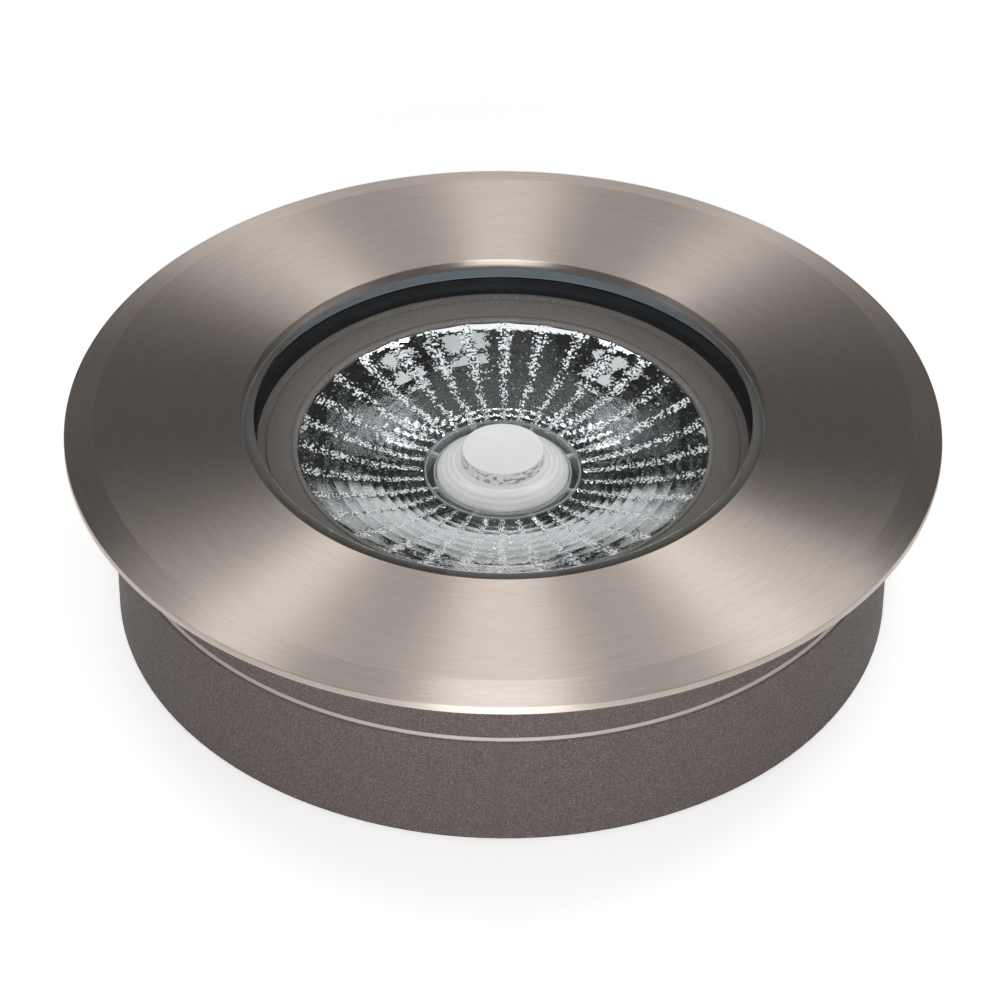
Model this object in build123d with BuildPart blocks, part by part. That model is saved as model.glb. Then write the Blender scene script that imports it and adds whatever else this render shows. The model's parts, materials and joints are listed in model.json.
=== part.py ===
from build123d import *
import os
from math import cos, pi, radians, sin

# In-ground well light: a round recessed uplight with a steel cover ring, thick glass and a faceted mirror.
# All lengths are millimetres. +Z points up, out of the ground. The origin lies on the light's axis in
# the plane of its underside, and +Y points to the side where the cable leaves.

# ---------------------------------------------------------------- driving sizes: cover ring and glass
bezel_radius = 90.0
bezel_thickness = 3.4
bezel_chamfer_width = 6.0
bezel_chamfer_drop = 1.75
opening_radius = 53.7
opening_edge_break = 0.25
collar_wall = 3.5
collar_gap = 0.4
drip_groove_width = 1.2
drip_groove_depth = 0.6
drip_groove_overhang = 0.2
glass_thickness = 8.0
glass_sink = 0.6
glass_chamfer_width = 2.1
glass_chamfer_drop = 1.6
glass_lower_chamfer = 0.5
bond_seam = 0.4
glass_gasket_thickness = 2.6
glass_gasket_width = 2.8
gasket_clearance = 0.3

# ---------------------------------------------------------------- driving sizes: trim ring and mirror
trim_thickness = 1.5
trim_band_width = 1.3
trim_band_drop = 0.25
trim_groove_width = 0.5
trim_groove_depth = 0.3
trim_lip_height = 0.35
trim_lip_slope_width = 0.8
trim_face_drop = 0.9
trim_clearance = 0.4
dish_rim_radius = 42.2
dish_wall = 1.2
dish_flange_width = 3.8
dish_flange_thickness = 0.9
dish_power = 1.8
facet_columns = 32
facet_rows = 11
facet_ratio = 0.9
facet_rim_band = 1.4
lip_overlap = 0.2

# ---------------------------------------------------------------- driving sizes: lens and light source
lens_radius = 13.7
lens_saucer_thickness = 1.4
button_radius = 8.5
button_height = 5.4
button_edge = 0.9
button_dish_depth = 0.45
button_wall = 1.5
holder_radius = 16.3
holder_height = 4.0
hoop_wall = 0.6
hoop_inner_height = 2.4
lens_seat_width = 0.9
lens_seat_thickness = 0.8
spoke_count = 8
spoke_width = 1.3
spoke_height = 1.8
lens_clearance = 0.2
board_radius = 23.5
board_thickness = 1.6
pad_thickness = 0.4
pad_margin = 0.5
emitter_width = 15.0
emitter_thickness = 1.0
phosphor_radius = 5.5
phosphor_thickness = 0.4
board_screw_count = 3
board_screw_radius = 1.5
board_screw_head_radius = 2.7
board_screw_head_height = 1.6
board_screw_length = 4.4

# ---------------------------------------------------------------- driving sizes: castings
housing_radius = 80.5
rim_step_width = 0.8
rim_step_height = 0.85
lower_height = 26.5
shell_wall = 3.0
base_thickness = 3.0
base_edge_radius = 0.8
base_recess_radius = 40.0
base_recess_depth = 0.8
deck_thickness = 4.0
ledge_thickness = 4.0
lamp_floor_thickness = 4.0
well_depth = 12.3
well_clearance = 0.2
mirror_clearance = 0.4
rib_count = 12
rib_thickness = 2.5
rib_height = 7.0
joint_flange_width = 6.8
joint_flange_height = 4.0
joint_gasket_thickness = 1.0
joint_lip_width = 2.3
joint_screw_count = 6
joint_screw_inset = 11.5
joint_screw_radius = 2.0
joint_screw_length = 30.0
joint_screw_head_radius = 3.5
joint_screw_head_height = 4.0
joint_head_seat = 5.0
boss_radius = 5.5
head_clearance = 0.7
hole_clearance = 0.25
thread_clearance = 0.05

# ---------------------------------------------------------------- driving sizes: studs and ring seal
stud_count = 6
stud_radius = 2.0
stud_length = 9.0
nut_flats = 7.0
nut_thickness = 3.2
washer_radius = 4.0
washer_thickness = 0.8
seal_groove_inset = 1.4
seal_groove_width = 2.4
seal_height = 1.5
seal_side_clearance = 0.2

# ---------------------------------------------------------------- driving sizes: driver
driver_length = 84.0
driver_width = 60.0
driver_centre_y = -6.0
driver_corner_radius = 2.5
standoff_height = 3.0
standoff_radius = 3.2
driver_hole_inset = 5.0
driver_screw_radius = 1.5
driver_screw_head_radius = 2.7
driver_screw_head_height = 1.6
driver_screw_length = 5.2
transformer_length = 22.0
transformer_width = 18.0
transformer_height = 7.4
transformer_x = -10.0
transformer_y = -18.0
coil_margin = 3.0
coil_overhang = 2.2
capacitor_radius = 4.0
capacitor_height = 7.0
capacitor_pitch = 10.0
capacitor_x = 20.0
capacitor_y = -24.0
chip_length = 6.0
chip_width = 4.5
chip_height = 1.6
chip_pitch = 9.0
chip_x = 20.0
chip_y = -6.0
terminal_length = 21.0
terminal_width = 9.0
terminal_height = 7.2
terminal_way_count = 3
terminal_screw_radius = 1.7
terminal_screw_length = 3.4
terminal_bore_radius = 1.5
terminal_bore_depth = 6.0
terminal_edge_gap = 1.0
slot_width = 0.6
slot_depth = 0.7
room_clearance = 1.0

# ---------------------------------------------------------------- driving sizes: leads and cable inlet
lead_radius = 0.5
lead_pitch = 2.4
lead_bend_radius = 4.0
lead_column_radius = 33.0
lead_end_radius = 18.0
grommet_bore_radius = 2.3
grommet_wall = 2.1
grommet_flange_width = 1.2
grommet_flange_thickness = 0.8
grommet_clearance = 0.1
channel_width = 30.0
gland_room = 3.2
gland_flats = 15.0
gland_thread_radius = 6.0
gland_bore_radius = 4.2
gland_inner_length = 8.0
gland_hex_thickness = 4.0
gland_outer_length = 7.0
gland_washer_thickness = 1.0
gland_washer_radius = 7.2
locknut_thickness = 3.0
cable_radius = 3.0
bush_radius = 5.0
bush_end_radius = 4.0
bush_step = 5.0
cap_length = 10.4
cap_gap = 0.4
cap_end_wall = 1.6
cap_edge_chamfer = 1.2
gland_clearance = 0.9

# ---------------------------------------------------------------- heights, from the underside upwards
board_stack = standoff_height + board_thickness
tallest_component = max(transformer_height, capacitor_height, terminal_height)
lamp_floor_under_z = base_thickness + board_stack + tallest_component + room_clearance
lamp_floor_z = lamp_floor_under_z + lamp_floor_thickness
pad_top_z = lamp_floor_z + pad_thickness
board_top_z = pad_top_z + board_thickness
emitter_top_z = board_top_z + emitter_thickness
holder_top_z = board_top_z + holder_height
ledge_z = lamp_floor_z + well_depth
trim_top_z = ledge_z + trim_thickness
glass_under_z = trim_top_z + glass_gasket_thickness
glass_top_z = glass_under_z + glass_thickness
top_z = glass_top_z + glass_sink
bezel_under_z = top_z - bezel_thickness
deck_under_z = bezel_under_z - deck_thickness
ledge_under_z = ledge_z - ledge_thickness
collar_under_z = trim_top_z + collar_gap
dish_foot_z = holder_top_z
dish_flange_under_z = ledge_z - dish_flange_thickness
joint_recess_z = lower_height - joint_gasket_thickness
driver_under_z = base_thickness + standoff_height
driver_top_z = base_thickness + board_stack
washer_under_z = deck_under_z - washer_thickness
nut_under_z = washer_under_z - nut_thickness
seal_groove_z = bezel_under_z - seal_height

# ---------------------------------------------------------------- radii that follow from the fits
glass_radius = opening_radius - bond_seam
collar_radius = opening_radius + collar_wall
well_radius = collar_radius + well_clearance
well_outer_radius = well_radius + shell_wall
upper_radius = housing_radius - rim_step_width
upper_inner_radius = upper_radius - shell_wall
lower_inner_radius = housing_radius - shell_wall
joint_lip_radius = housing_radius - joint_lip_width
joint_flange_radius = housing_radius - joint_flange_width
joint_screw_circle = housing_radius - joint_screw_inset
glass_gasket_outer_radius = opening_radius - gasket_clearance
glass_gasket_inner_radius = glass_gasket_outer_radius - glass_gasket_width
trim_outer_radius = well_radius - trim_clearance
trim_lip_radius = dish_rim_radius + lip_overlap
dish_flange_radius = dish_rim_radius + dish_flange_width
dish_foot_radius = holder_radius + gasket_clearance
lamp_well_radius = dish_rim_radius + dish_wall + mirror_clearance
lamp_well_outer_radius = lamp_well_radius + shell_wall
pad_radius = board_radius - pad_margin
holder_inner_radius = lens_radius + lens_clearance
board_screw_circle = board_radius - board_screw_head_radius - pad_margin
stud_circle = (well_outer_radius + upper_inner_radius) / 2
seal_groove_inner_radius = well_radius + seal_groove_inset
seal_groove_outer_radius = seal_groove_inner_radius + seal_groove_width
drip_groove_outer_radius = upper_radius + drip_groove_overhang
grommet_radius = grommet_bore_radius + grommet_wall
gland_z = base_thickness + gland_flats / 2 + gland_clearance
channel_height = gland_z + gland_flats / 2 + gland_clearance
gland_wall_y = lamp_well_outer_radius + gland_room + gland_inner_length
gland_inner_wall_y = gland_wall_y - shell_wall


def circle_of(radius, count, start_angle=0.0):
    """Points evenly spread on a circle about the light's axis."""
    turns = [radians(start_angle + 360.0 * step / count) for step in range(count)]
    return [(radius * cos(turn), radius * sin(turn)) for turn in turns]


def turn(points, mode=Mode.ADD):
    """Turn a closed outline of (radius, height) points about Z, into the part in work."""
    with BuildSketch(Plane.XZ) as outline:
        with BuildLine():
            Polyline(*points, close=True)
        make_face()
    revolve(outline.sketch, axis=Axis.Z, mode=mode)


def ring(inner_radius, outer_radius, bottom_z, high_z, mode=Mode.ADD):
    """Add a flat ring about Z to the part in work, or cut it away."""
    corners = [
        (inner_radius, bottom_z),
        (outer_radius, bottom_z),
        (outer_radius, high_z),
        (inner_radius, high_z),
    ]
    turn(corners, mode)


def rods(radius, bottom_z, high_z, places, mode=Mode.ADD):
    """Add upright round rods at the places to the part in work, or cut them as holes."""
    with BuildSketch(Plane.XY.offset(bottom_z)) as section:
        with Locations(*places):
            Circle(radius)
    extrude(section.sketch, amount=high_z - bottom_z, mode=mode)


def screw_set(places, seat_z, radius, length, head_radius, head_height, up=1):
    """Socket screws whose heads bear at seat_z. The shanks run up, or down with up=-1."""
    with BuildPart() as screws:
        rods(radius, seat_z, seat_z + up * length, places)
        rods(head_radius, seat_z, seat_z - up * head_height, places)
        with BuildSketch(Plane.XY.offset(seat_z - up * head_height)):
            with Locations(*places):
                RegularPolygon(head_radius / 2, side_count=6)
        extrude(amount=up * head_height / 2, mode=Mode.SUBTRACT)
    return screws


def along_gland(points):
    """Turn a closed outline of (radius, y) points about the gland's axis, into the part in work."""
    gland_plane = Plane(origin=(0, 0, gland_z), x_dir=(1, 0, 0), z_dir=(0, 0, 1))
    with BuildSketch(gland_plane) as outline:
        with BuildLine():
            Polyline(*points, close=True)
        make_face()
    revolve(outline.sketch, axis=Axis((0, 0, gland_z), (0, 1, 0)))


def across_gland(start_y, thickness, flats):
    """Add a hexagon about the gland's axis to the part in work, from start_y outwards."""
    hex_plane = Plane(origin=(0, start_y, gland_z), x_dir=(1, 0, 0), z_dir=(0, 1, 0))
    with BuildSketch(hex_plane) as section:
        RegularPolygon(flats / 2, side_count=6, major_radius=False)
    extrude(section.sketch, amount=thickness)


# ---------------------------------------------------------------- cover ring, its collar and its studs
joint_screw_places = circle_of(joint_screw_circle, joint_screw_count)
stud_places = circle_of(stud_circle, stud_count, 180.0 / joint_screw_count)

with BuildPart() as bezel_ring:
    turn(
        [
            (opening_radius, top_z - opening_edge_break),
            (opening_radius + opening_edge_break, top_z),
            (bezel_radius - bezel_chamfer_width, top_z),
            (bezel_radius, top_z - bezel_chamfer_drop),
            (bezel_radius, bezel_under_z),
            (opening_radius, bezel_under_z),
        ]
    )
    # Drip groove over the casting's outer edge.
    ring(
        drip_groove_outer_radius - drip_groove_width,
        drip_groove_outer_radius,
        bezel_under_z,
        bezel_under_z + drip_groove_depth,
        Mode.SUBTRACT,
    )

with BuildPart() as bezel_collar:
    ring(opening_radius, collar_radius, collar_under_z, bezel_under_z)

with BuildPart() as bezel_studs:
    rods(stud_radius, bezel_under_z - stud_length, bezel_under_z, stud_places)

# ---------------------------------------------------------------- glass and its seals
with BuildPart() as glass_disc:
    turn(
        [
            (0, glass_under_z),
            (glass_radius - glass_lower_chamfer, glass_under_z),
            (glass_radius, glass_under_z + glass_lower_chamfer),
            (glass_radius, glass_top_z - glass_chamfer_drop),
            (glass_radius - glass_chamfer_width, glass_top_z),
            (0, glass_top_z),
        ]
    )

with BuildPart() as glass_bond_seal:
    ring(glass_radius, opening_radius, glass_under_z, glass_top_z - glass_chamfer_drop)

with BuildPart() as glass_gasket:
    ring(glass_gasket_inner_radius, glass_gasket_outer_radius, trim_top_z, glass_under_z)

with BuildPart() as bezel_seal:
    ring(
        seal_groove_inner_radius + seal_side_clearance,
        seal_groove_outer_radius - seal_side_clearance,
        seal_groove_z,
        bezel_under_z,
    )

# ---------------------------------------------------------------- anti-glare trim ring
trim_band_radius = glass_gasket_inner_radius - trim_band_width
trim_face_z = trim_top_z - trim_band_drop
trim_groove_radius = trim_band_radius - trim_groove_width
trim_lip_top_z = ledge_z + trim_lip_height

with BuildPart() as trim_ring:
    turn(
        [
            (trim_lip_radius, ledge_z),
            (trim_outer_radius, ledge_z),
            (trim_outer_radius, trim_top_z),
            (glass_gasket_inner_radius, trim_top_z),
            (trim_band_radius, trim_face_z),
            (trim_band_radius, trim_face_z - trim_groove_depth),
            (trim_groove_radius, trim_face_z - trim_groove_depth),
            (trim_groove_radius, trim_face_z),
            (trim_lip_radius + trim_lip_slope_width, trim_top_z - trim_face_drop),
            (trim_lip_radius, trim_lip_top_z),
        ]
    )

# ---------------------------------------------------------------- faceted mirror dish


def dish_z(radius):
    """Height of the dish at a radius: level at its foot, steeper towards its rim."""
    reach = (radius - dish_foot_radius) / (dish_rim_radius - dish_foot_radius)
    return dish_foot_z + (ledge_z - dish_foot_z) * reach**dish_power


# The facets' rows shrink inwards, each by the same ratio, inside a narrow band at the rim.
facet_span = dish_rim_radius - facet_rim_band - dish_foot_radius
facet_shares = [
    (facet_ratio**row - facet_ratio**facet_rows) / (1 - facet_ratio**facet_rows)
    for row in range(facet_rows, -1, -1)
]
facet_radii = [dish_foot_radius + facet_span * share for share in facet_shares] + [dish_rim_radius]
dish_back = [(radius, dish_z(radius) - dish_wall) for radius in facet_radii[:-1]]
dish_corner_growth = 1 / cos(pi / facet_columns)
foot_ring = (dish_foot_radius, dish_foot_z - 2 * dish_wall)
facet_rings = [foot_ring] + [(radius, dish_z(radius)) for radius in facet_radii]

with BuildPart() as reflector:
    turn(
        dish_back
        + [
            (dish_rim_radius, dish_flange_under_z - dish_wall / 2),
            (dish_rim_radius + dish_wall, dish_flange_under_z),
            (dish_flange_radius, dish_flange_under_z),
            (dish_flange_radius, ledge_z),
            (dish_foot_radius, ledge_z),
        ]
    )
    for radius, height in facet_rings:
        with BuildSketch(Plane.XY.offset(height)):
            RegularPolygon(radius * dish_corner_growth, side_count=facet_columns)
    loft(ruled=True, mode=Mode.SUBTRACT)

# ---------------------------------------------------------------- frosted lens and its clear holder
lens_under_z = holder_top_z - lens_saucer_thickness
button_top_z = holder_top_z + button_height
button_inner_radius = button_radius - button_wall

with BuildPart() as lens:
    with BuildSketch(Plane.XZ):
        with BuildLine():
            Polyline(
                (0, button_top_z - button_wall - button_dish_depth),
                (button_inner_radius, button_top_z - button_wall - button_dish_depth),
                (button_inner_radius, lens_under_z),
                (lens_radius, lens_under_z),
                (lens_radius, holder_top_z),
                (button_radius, holder_top_z),
                (button_radius, button_top_z - button_edge),
            )
            RadiusArc(
                (button_radius, button_top_z - button_edge),
                (button_radius - button_edge, button_top_z),
                -button_edge,
            )
            TangentArc(
                (0, button_top_z - button_dish_depth),
                (button_radius - button_edge, button_top_z),
                tangent=(1, 0),
            )
            Line(
                (0, button_top_z - button_dish_depth),
                (0, button_top_z - button_wall - button_dish_depth),
            )
        make_face()
    revolve(axis=Axis.Z)

hoop_inner_under_z = holder_top_z - hoop_inner_height
hoop_inner_outer_radius = holder_inner_radius + hoop_wall
spoke_inner_radius = holder_inner_radius + hoop_wall / 2
spoke_outer_radius = holder_radius - hoop_wall / 2

with BuildPart() as lens_holder:
    ring(holder_radius - hoop_wall, holder_radius, board_top_z, holder_top_z)
    ring(holder_inner_radius, hoop_inner_outer_radius, hoop_inner_under_z, holder_top_z)
    ring(
        holder_inner_radius - lens_seat_width,
        holder_inner_radius + hoop_wall / 2,
        lens_under_z - lens_seat_thickness,
        lens_under_z,
    )
    with BuildSketch(Plane.XY.offset(holder_top_z - spoke_height)):
        with PolarLocations((spoke_inner_radius + spoke_outer_radius) / 2, spoke_count, 180 / spoke_count):
            Rectangle(spoke_outer_radius - spoke_inner_radius, spoke_width)
    extrude(amount=spoke_height)

# ---------------------------------------------------------------- light source, pad and screws
board_screw_places = circle_of(board_screw_circle, board_screw_count, 90.0)
board_hole_radius = board_screw_radius + hole_clearance

with BuildPart() as led_board:
    with BuildSketch(Plane.XY.offset(pad_top_z)):
        Circle(board_radius)
        with Locations(*board_screw_places):
            Circle(board_hole_radius, mode=Mode.SUBTRACT)
    extrude(amount=board_thickness)

with BuildPart() as thermal_pad:
    with BuildSketch(Plane.XY.offset(lamp_floor_z)):
        Circle(pad_radius)
        with Locations(*board_screw_places):
            Circle(board_hole_radius, mode=Mode.SUBTRACT)
    extrude(amount=pad_thickness)

with BuildPart() as led_emitter:
    with BuildSketch(Plane.XY.offset(board_top_z)):
        RectangleRounded(emitter_width, emitter_width, emitter_thickness)
    extrude(amount=emitter_thickness)

with BuildPart() as led_phosphor:
    with BuildSketch(Plane.XY.offset(emitter_top_z)):
        Circle(phosphor_radius)
    extrude(amount=phosphor_thickness)

board_screws = screw_set(
    board_screw_places,
    board_top_z,
    board_screw_radius,
    board_screw_length,
    board_screw_head_radius,
    board_screw_head_height,
    up=-1,
)

# ---------------------------------------------------------------- upper casting
joint_hole_end_z = joint_head_seat + joint_screw_length + thread_clearance
board_hole_end_z = board_top_z - board_screw_length - thread_clearance
upper_flange_radius = joint_flange_radius
rib_reach = upper_inner_radius - well_outer_radius + shell_wall
lead_place = [(-lead_column_radius, 0)]

with BuildPart() as upper_housing:
    # Outer wall, deck and the well wall down to the ledge.
    ring(upper_inner_radius, upper_radius, lower_height, bezel_under_z)
    ring(well_radius, upper_radius, deck_under_z, bezel_under_z)
    ring(well_radius, well_outer_radius, ledge_under_z, bezel_under_z)
    # Ledge, lamp well and lamp floor.
    ring(lamp_well_radius, well_outer_radius, ledge_under_z, ledge_z)
    ring(lamp_well_radius, lamp_well_outer_radius, lamp_floor_under_z, ledge_z)
    rods(lamp_well_outer_radius, lamp_floor_under_z, lamp_floor_z, [(0, 0)])
    # Joint flange, bosses and ribs.
    ring(upper_flange_radius, upper_radius, lower_height, lower_height + joint_flange_height)
    rods(boss_radius, lower_height, deck_under_z, joint_screw_places)
    with BuildSketch(Plane.XY.offset(deck_under_z - rib_height)):
        with PolarLocations((well_outer_radius + upper_inner_radius) / 2, rib_count, 180 / rib_count):
            Rectangle(rib_reach, rib_thickness)
    extrude(amount=rib_height)
    # The well's room, seats and holes.
    rods(well_radius, ledge_z, bezel_under_z, [(0, 0)], Mode.SUBTRACT)
    ring(lamp_well_radius, dish_flange_radius + well_clearance, dish_flange_under_z, ledge_z, Mode.SUBTRACT)
    ring(seal_groove_inner_radius, seal_groove_outer_radius, seal_groove_z, bezel_under_z, Mode.SUBTRACT)
    rods(stud_radius + hole_clearance, deck_under_z, bezel_under_z, stud_places, Mode.SUBTRACT)
    rods(
        joint_screw_radius + thread_clearance,
        lower_height,
        joint_hole_end_z,
        joint_screw_places,
        Mode.SUBTRACT,
    )
    rods(
        board_screw_radius + thread_clearance,
        board_hole_end_z,
        lamp_floor_z,
        board_screw_places,
        Mode.SUBTRACT,
    )
    rods(
        grommet_radius + grommet_clearance,
        lamp_floor_under_z,
        lamp_floor_z,
        lead_place,
        Mode.SUBTRACT,
    )

# ---------------------------------------------------------------- lower casting with its cable channel
channel_middle_y = (gland_wall_y + housing_radius) / 2
channel_reach = housing_radius - gland_wall_y
driver_hole_x = driver_length / 2 - driver_hole_inset
driver_hole_y = driver_width / 2 - driver_hole_inset
driver_hole_places = [
    (side_x * driver_hole_x, driver_centre_y + side_y * driver_hole_y)
    for side_x in (-1, 1)
    for side_y in (-1, 1)
]
driver_hole_end_z = driver_top_z - driver_screw_length - thread_clearance

with BuildPart() as lower_housing:
    # Pot, from the ground up to its bevelled rim.
    turn(
        [
            (0, 0),
            (housing_radius - base_edge_radius, 0),
            (housing_radius, base_edge_radius),
            (housing_radius, lower_height - rim_step_height),
            (upper_radius, lower_height),
            (joint_lip_radius, lower_height),
            (joint_lip_radius, joint_recess_z),
            (joint_flange_radius, joint_recess_z),
            (joint_flange_radius, joint_recess_z - joint_flange_height),
            (lower_inner_radius, joint_recess_z - joint_flange_height),
            (lower_inner_radius, base_thickness),
            (0, base_thickness),
        ]
    )
    rods(boss_radius, 0, joint_recess_z, joint_screw_places)
    rods(standoff_radius, 0, driver_under_z, driver_hole_places)
    # Walls of the channel that lets the cable out sideways.
    with BuildSketch() as channel_walls:
        Circle(housing_radius - base_edge_radius)
        with Locations((0, channel_middle_y - shell_wall / 2)):
            Rectangle(channel_width + 2 * shell_wall, channel_reach + shell_wall, mode=Mode.INTERSECT)
    extrude(amount=channel_height + shell_wall)
    # The channel itself, open below and at the side.
    with BuildSketch() as channel_room:
        with Locations((0, channel_middle_y + shell_wall / 2)):
            Rectangle(channel_width, channel_reach + shell_wall)
    extrude(amount=channel_height, mode=Mode.SUBTRACT)
    # Holes for the gland, the screws and the shallow recess of the underside.
    gland_hole_plane = Plane(origin=(0, gland_inner_wall_y, gland_z), x_dir=(1, 0, 0), z_dir=(0, 1, 0))
    with BuildSketch(gland_hole_plane):
        Circle(gland_thread_radius + hole_clearance)
    extrude(amount=shell_wall, mode=Mode.SUBTRACT)
    rods(joint_screw_radius + hole_clearance, 0, joint_recess_z, joint_screw_places, Mode.SUBTRACT)
    rods(joint_screw_head_radius + head_clearance, 0, joint_head_seat, joint_screw_places, Mode.SUBTRACT)
    rods(
        driver_screw_radius + thread_clearance,
        driver_hole_end_z,
        driver_under_z,
        driver_hole_places,
        Mode.SUBTRACT,
    )
    rods(base_recess_radius, 0, base_recess_depth, [(0, 0)], Mode.SUBTRACT)

# ---------------------------------------------------------------- joint gasket, screws, washers and nuts
with BuildPart() as housing_gasket:
    with BuildSketch(Plane.XY.offset(joint_recess_z)):
        Circle(joint_lip_radius - gasket_clearance)
        Circle(joint_flange_radius, mode=Mode.SUBTRACT)
        with Locations(*joint_screw_places):
            Circle(boss_radius)
        with Locations(*joint_screw_places):
            Circle(joint_screw_radius + hole_clearance, mode=Mode.SUBTRACT)
    extrude(amount=joint_gasket_thickness)

housing_screws = screw_set(
    joint_screw_places,
    joint_head_seat,
    joint_screw_radius,
    joint_screw_length,
    joint_screw_head_radius,
    joint_screw_head_height,
)

with BuildPart() as stud_washers:
    rods(washer_radius, washer_under_z, deck_under_z, stud_places)
    rods(stud_radius + thread_clearance, washer_under_z, deck_under_z, stud_places, Mode.SUBTRACT)

with BuildPart() as stud_nuts:
    with BuildSketch(Plane.XY.offset(nut_under_z)):
        with Locations(*stud_places):
            RegularPolygon(nut_flats / 2, side_count=6, major_radius=False)
        with Locations(*stud_places):
            Circle(stud_radius + thread_clearance, mode=Mode.SUBTRACT)
    extrude(amount=nut_thickness)

# ---------------------------------------------------------------- driver board and what it carries
with BuildPart() as driver_board:
    with BuildSketch(Plane.XY.offset(driver_under_z)):
        with Locations((0, driver_centre_y)):
            RectangleRounded(driver_length, driver_width, driver_corner_radius)
        with Locations(*driver_hole_places):
            Circle(driver_screw_radius + hole_clearance, mode=Mode.SUBTRACT)
    extrude(amount=board_thickness)

driver_screws = screw_set(
    driver_hole_places,
    driver_top_z,
    driver_screw_radius,
    driver_screw_length,
    driver_screw_head_radius,
    driver_screw_head_height,
    up=-1,
)

with BuildPart() as driver_transformer:
    # Core block with a wider winding round its middle.
    with BuildSketch(Plane.XY.offset(driver_top_z)):
        with Locations((transformer_x, transformer_y)):
            Rectangle(transformer_length, transformer_width)
    extrude(amount=transformer_height)
    with BuildSketch(Plane.XY.offset(driver_top_z + slot_width)):
        with Locations((transformer_x, transformer_y)):
            RectangleRounded(
                transformer_length - 2 * coil_margin,
                transformer_width + 2 * coil_overhang,
                coil_overhang,
            )
    extrude(amount=transformer_height - 2 * slot_width)

capacitor_places = [(capacitor_x + step * capacitor_pitch, capacitor_y) for step in range(2)]

with BuildPart() as driver_capacitors:
    rods(capacitor_radius, driver_top_z, driver_top_z + capacitor_height, capacitor_places)
    fillet(driver_capacitors.edges().group_by(Axis.Z)[-1], slot_width)

chip_places = [(chip_x + step * chip_pitch, chip_y) for step in (-1, 0, 1)]

with BuildPart() as driver_chips:
    with BuildSketch(Plane.XY.offset(driver_top_z)):
        with Locations(*chip_places):
            Rectangle(chip_length, chip_width)
    extrude(amount=chip_height)

# ---------------------------------------------------------------- terminals at the board's rear edge
terminal_y = driver_centre_y + driver_width / 2 - terminal_width / 2 - terminal_edge_gap
terminal_pitch = terminal_length / terminal_way_count
terminal_places = [
    ((way - (terminal_way_count - 1) / 2) * terminal_pitch, terminal_y) for way in range(terminal_way_count)
]
terminal_top_z = driver_top_z + terminal_height
terminal_screw_seat_z = terminal_top_z - terminal_screw_length
terminal_bore_z = driver_top_z + terminal_bore_radius + slot_width
terminal_mouth_y = terminal_y + terminal_width / 2

with BuildPart() as terminal_block:
    with BuildSketch(Plane.XY.offset(driver_top_z)):
        with Locations((0, terminal_y)):
            Rectangle(terminal_length, terminal_width)
    extrude(amount=terminal_height)
    rods(
        terminal_screw_radius + thread_clearance,
        terminal_screw_seat_z,
        terminal_top_z,
        terminal_places,
        Mode.SUBTRACT,
    )
    mouth_plane = Plane(origin=(0, terminal_mouth_y, terminal_bore_z), x_dir=(1, 0, 0), z_dir=(0, -1, 0))
    with BuildSketch(mouth_plane):
        with Locations(*[(place[0], 0) for place in terminal_places]):
            Circle(terminal_bore_radius)
    extrude(amount=terminal_bore_depth, mode=Mode.SUBTRACT)

with BuildPart() as terminal_screws:
    rods(terminal_screw_radius, terminal_screw_seat_z, terminal_top_z - slot_depth, terminal_places)
    with BuildSketch(Plane.XY.offset(terminal_top_z - slot_depth)):
        with Locations(*terminal_places):
            Rectangle(2 * terminal_screw_radius, slot_width)
    extrude(amount=-slot_depth, mode=Mode.SUBTRACT)

# ---------------------------------------------------------------- leads to the light source and grommet
with BuildPart() as lead_grommet:
    grommet_flange_radius = grommet_radius + grommet_flange_width
    grommet_top_z = lamp_floor_z + grommet_flange_thickness
    grommet_under_z = lamp_floor_under_z - grommet_flange_thickness
    rods(grommet_flange_radius, grommet_under_z, lamp_floor_under_z, lead_place)
    rods(grommet_radius, lamp_floor_under_z, lamp_floor_z, lead_place)
    rods(grommet_flange_radius, lamp_floor_z, grommet_top_z, lead_place)
    rods(grommet_bore_radius, grommet_under_z, grommet_top_z, lead_place, Mode.SUBTRACT)


def lead(side_y):
    """One lead: up from the driver's board through the grommet, then flat over the light's board."""
    run_z = board_top_z + lead_radius
    route = [
        (-lead_column_radius, side_y, driver_top_z),
        (-lead_column_radius, side_y, run_z),
        (-lead_end_radius, side_y, run_z),
    ]
    with BuildPart() as wire:
        with BuildLine() as path:
            FilletPolyline(*route, radius=lead_bend_radius)
        with BuildSketch(Plane(origin=route[0], z_dir=(0, 0, 1))):
            Circle(lead_radius)
        sweep(path=path.line)
    return wire


led_lead_red = lead(lead_pitch / 2)
led_lead_black = lead(-lead_pitch / 2)

# ---------------------------------------------------------------- cable gland, along +Y in the channel
gland_hex_y = gland_wall_y + gland_washer_thickness
gland_neck_y = gland_hex_y + gland_hex_thickness
gland_neck_end_y = gland_neck_y + gland_outer_length
gland_inner_end_y = gland_wall_y - gland_inner_length
bush_start_y = gland_neck_end_y - bush_step
cap_start_y = gland_neck_y + cap_gap
bush_end_y = cap_start_y + cap_length - cap_end_wall - thread_clearance
cap_thread_radius = gland_thread_radius + hole_clearance
cap_hole_radius = cable_radius + head_clearance

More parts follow.
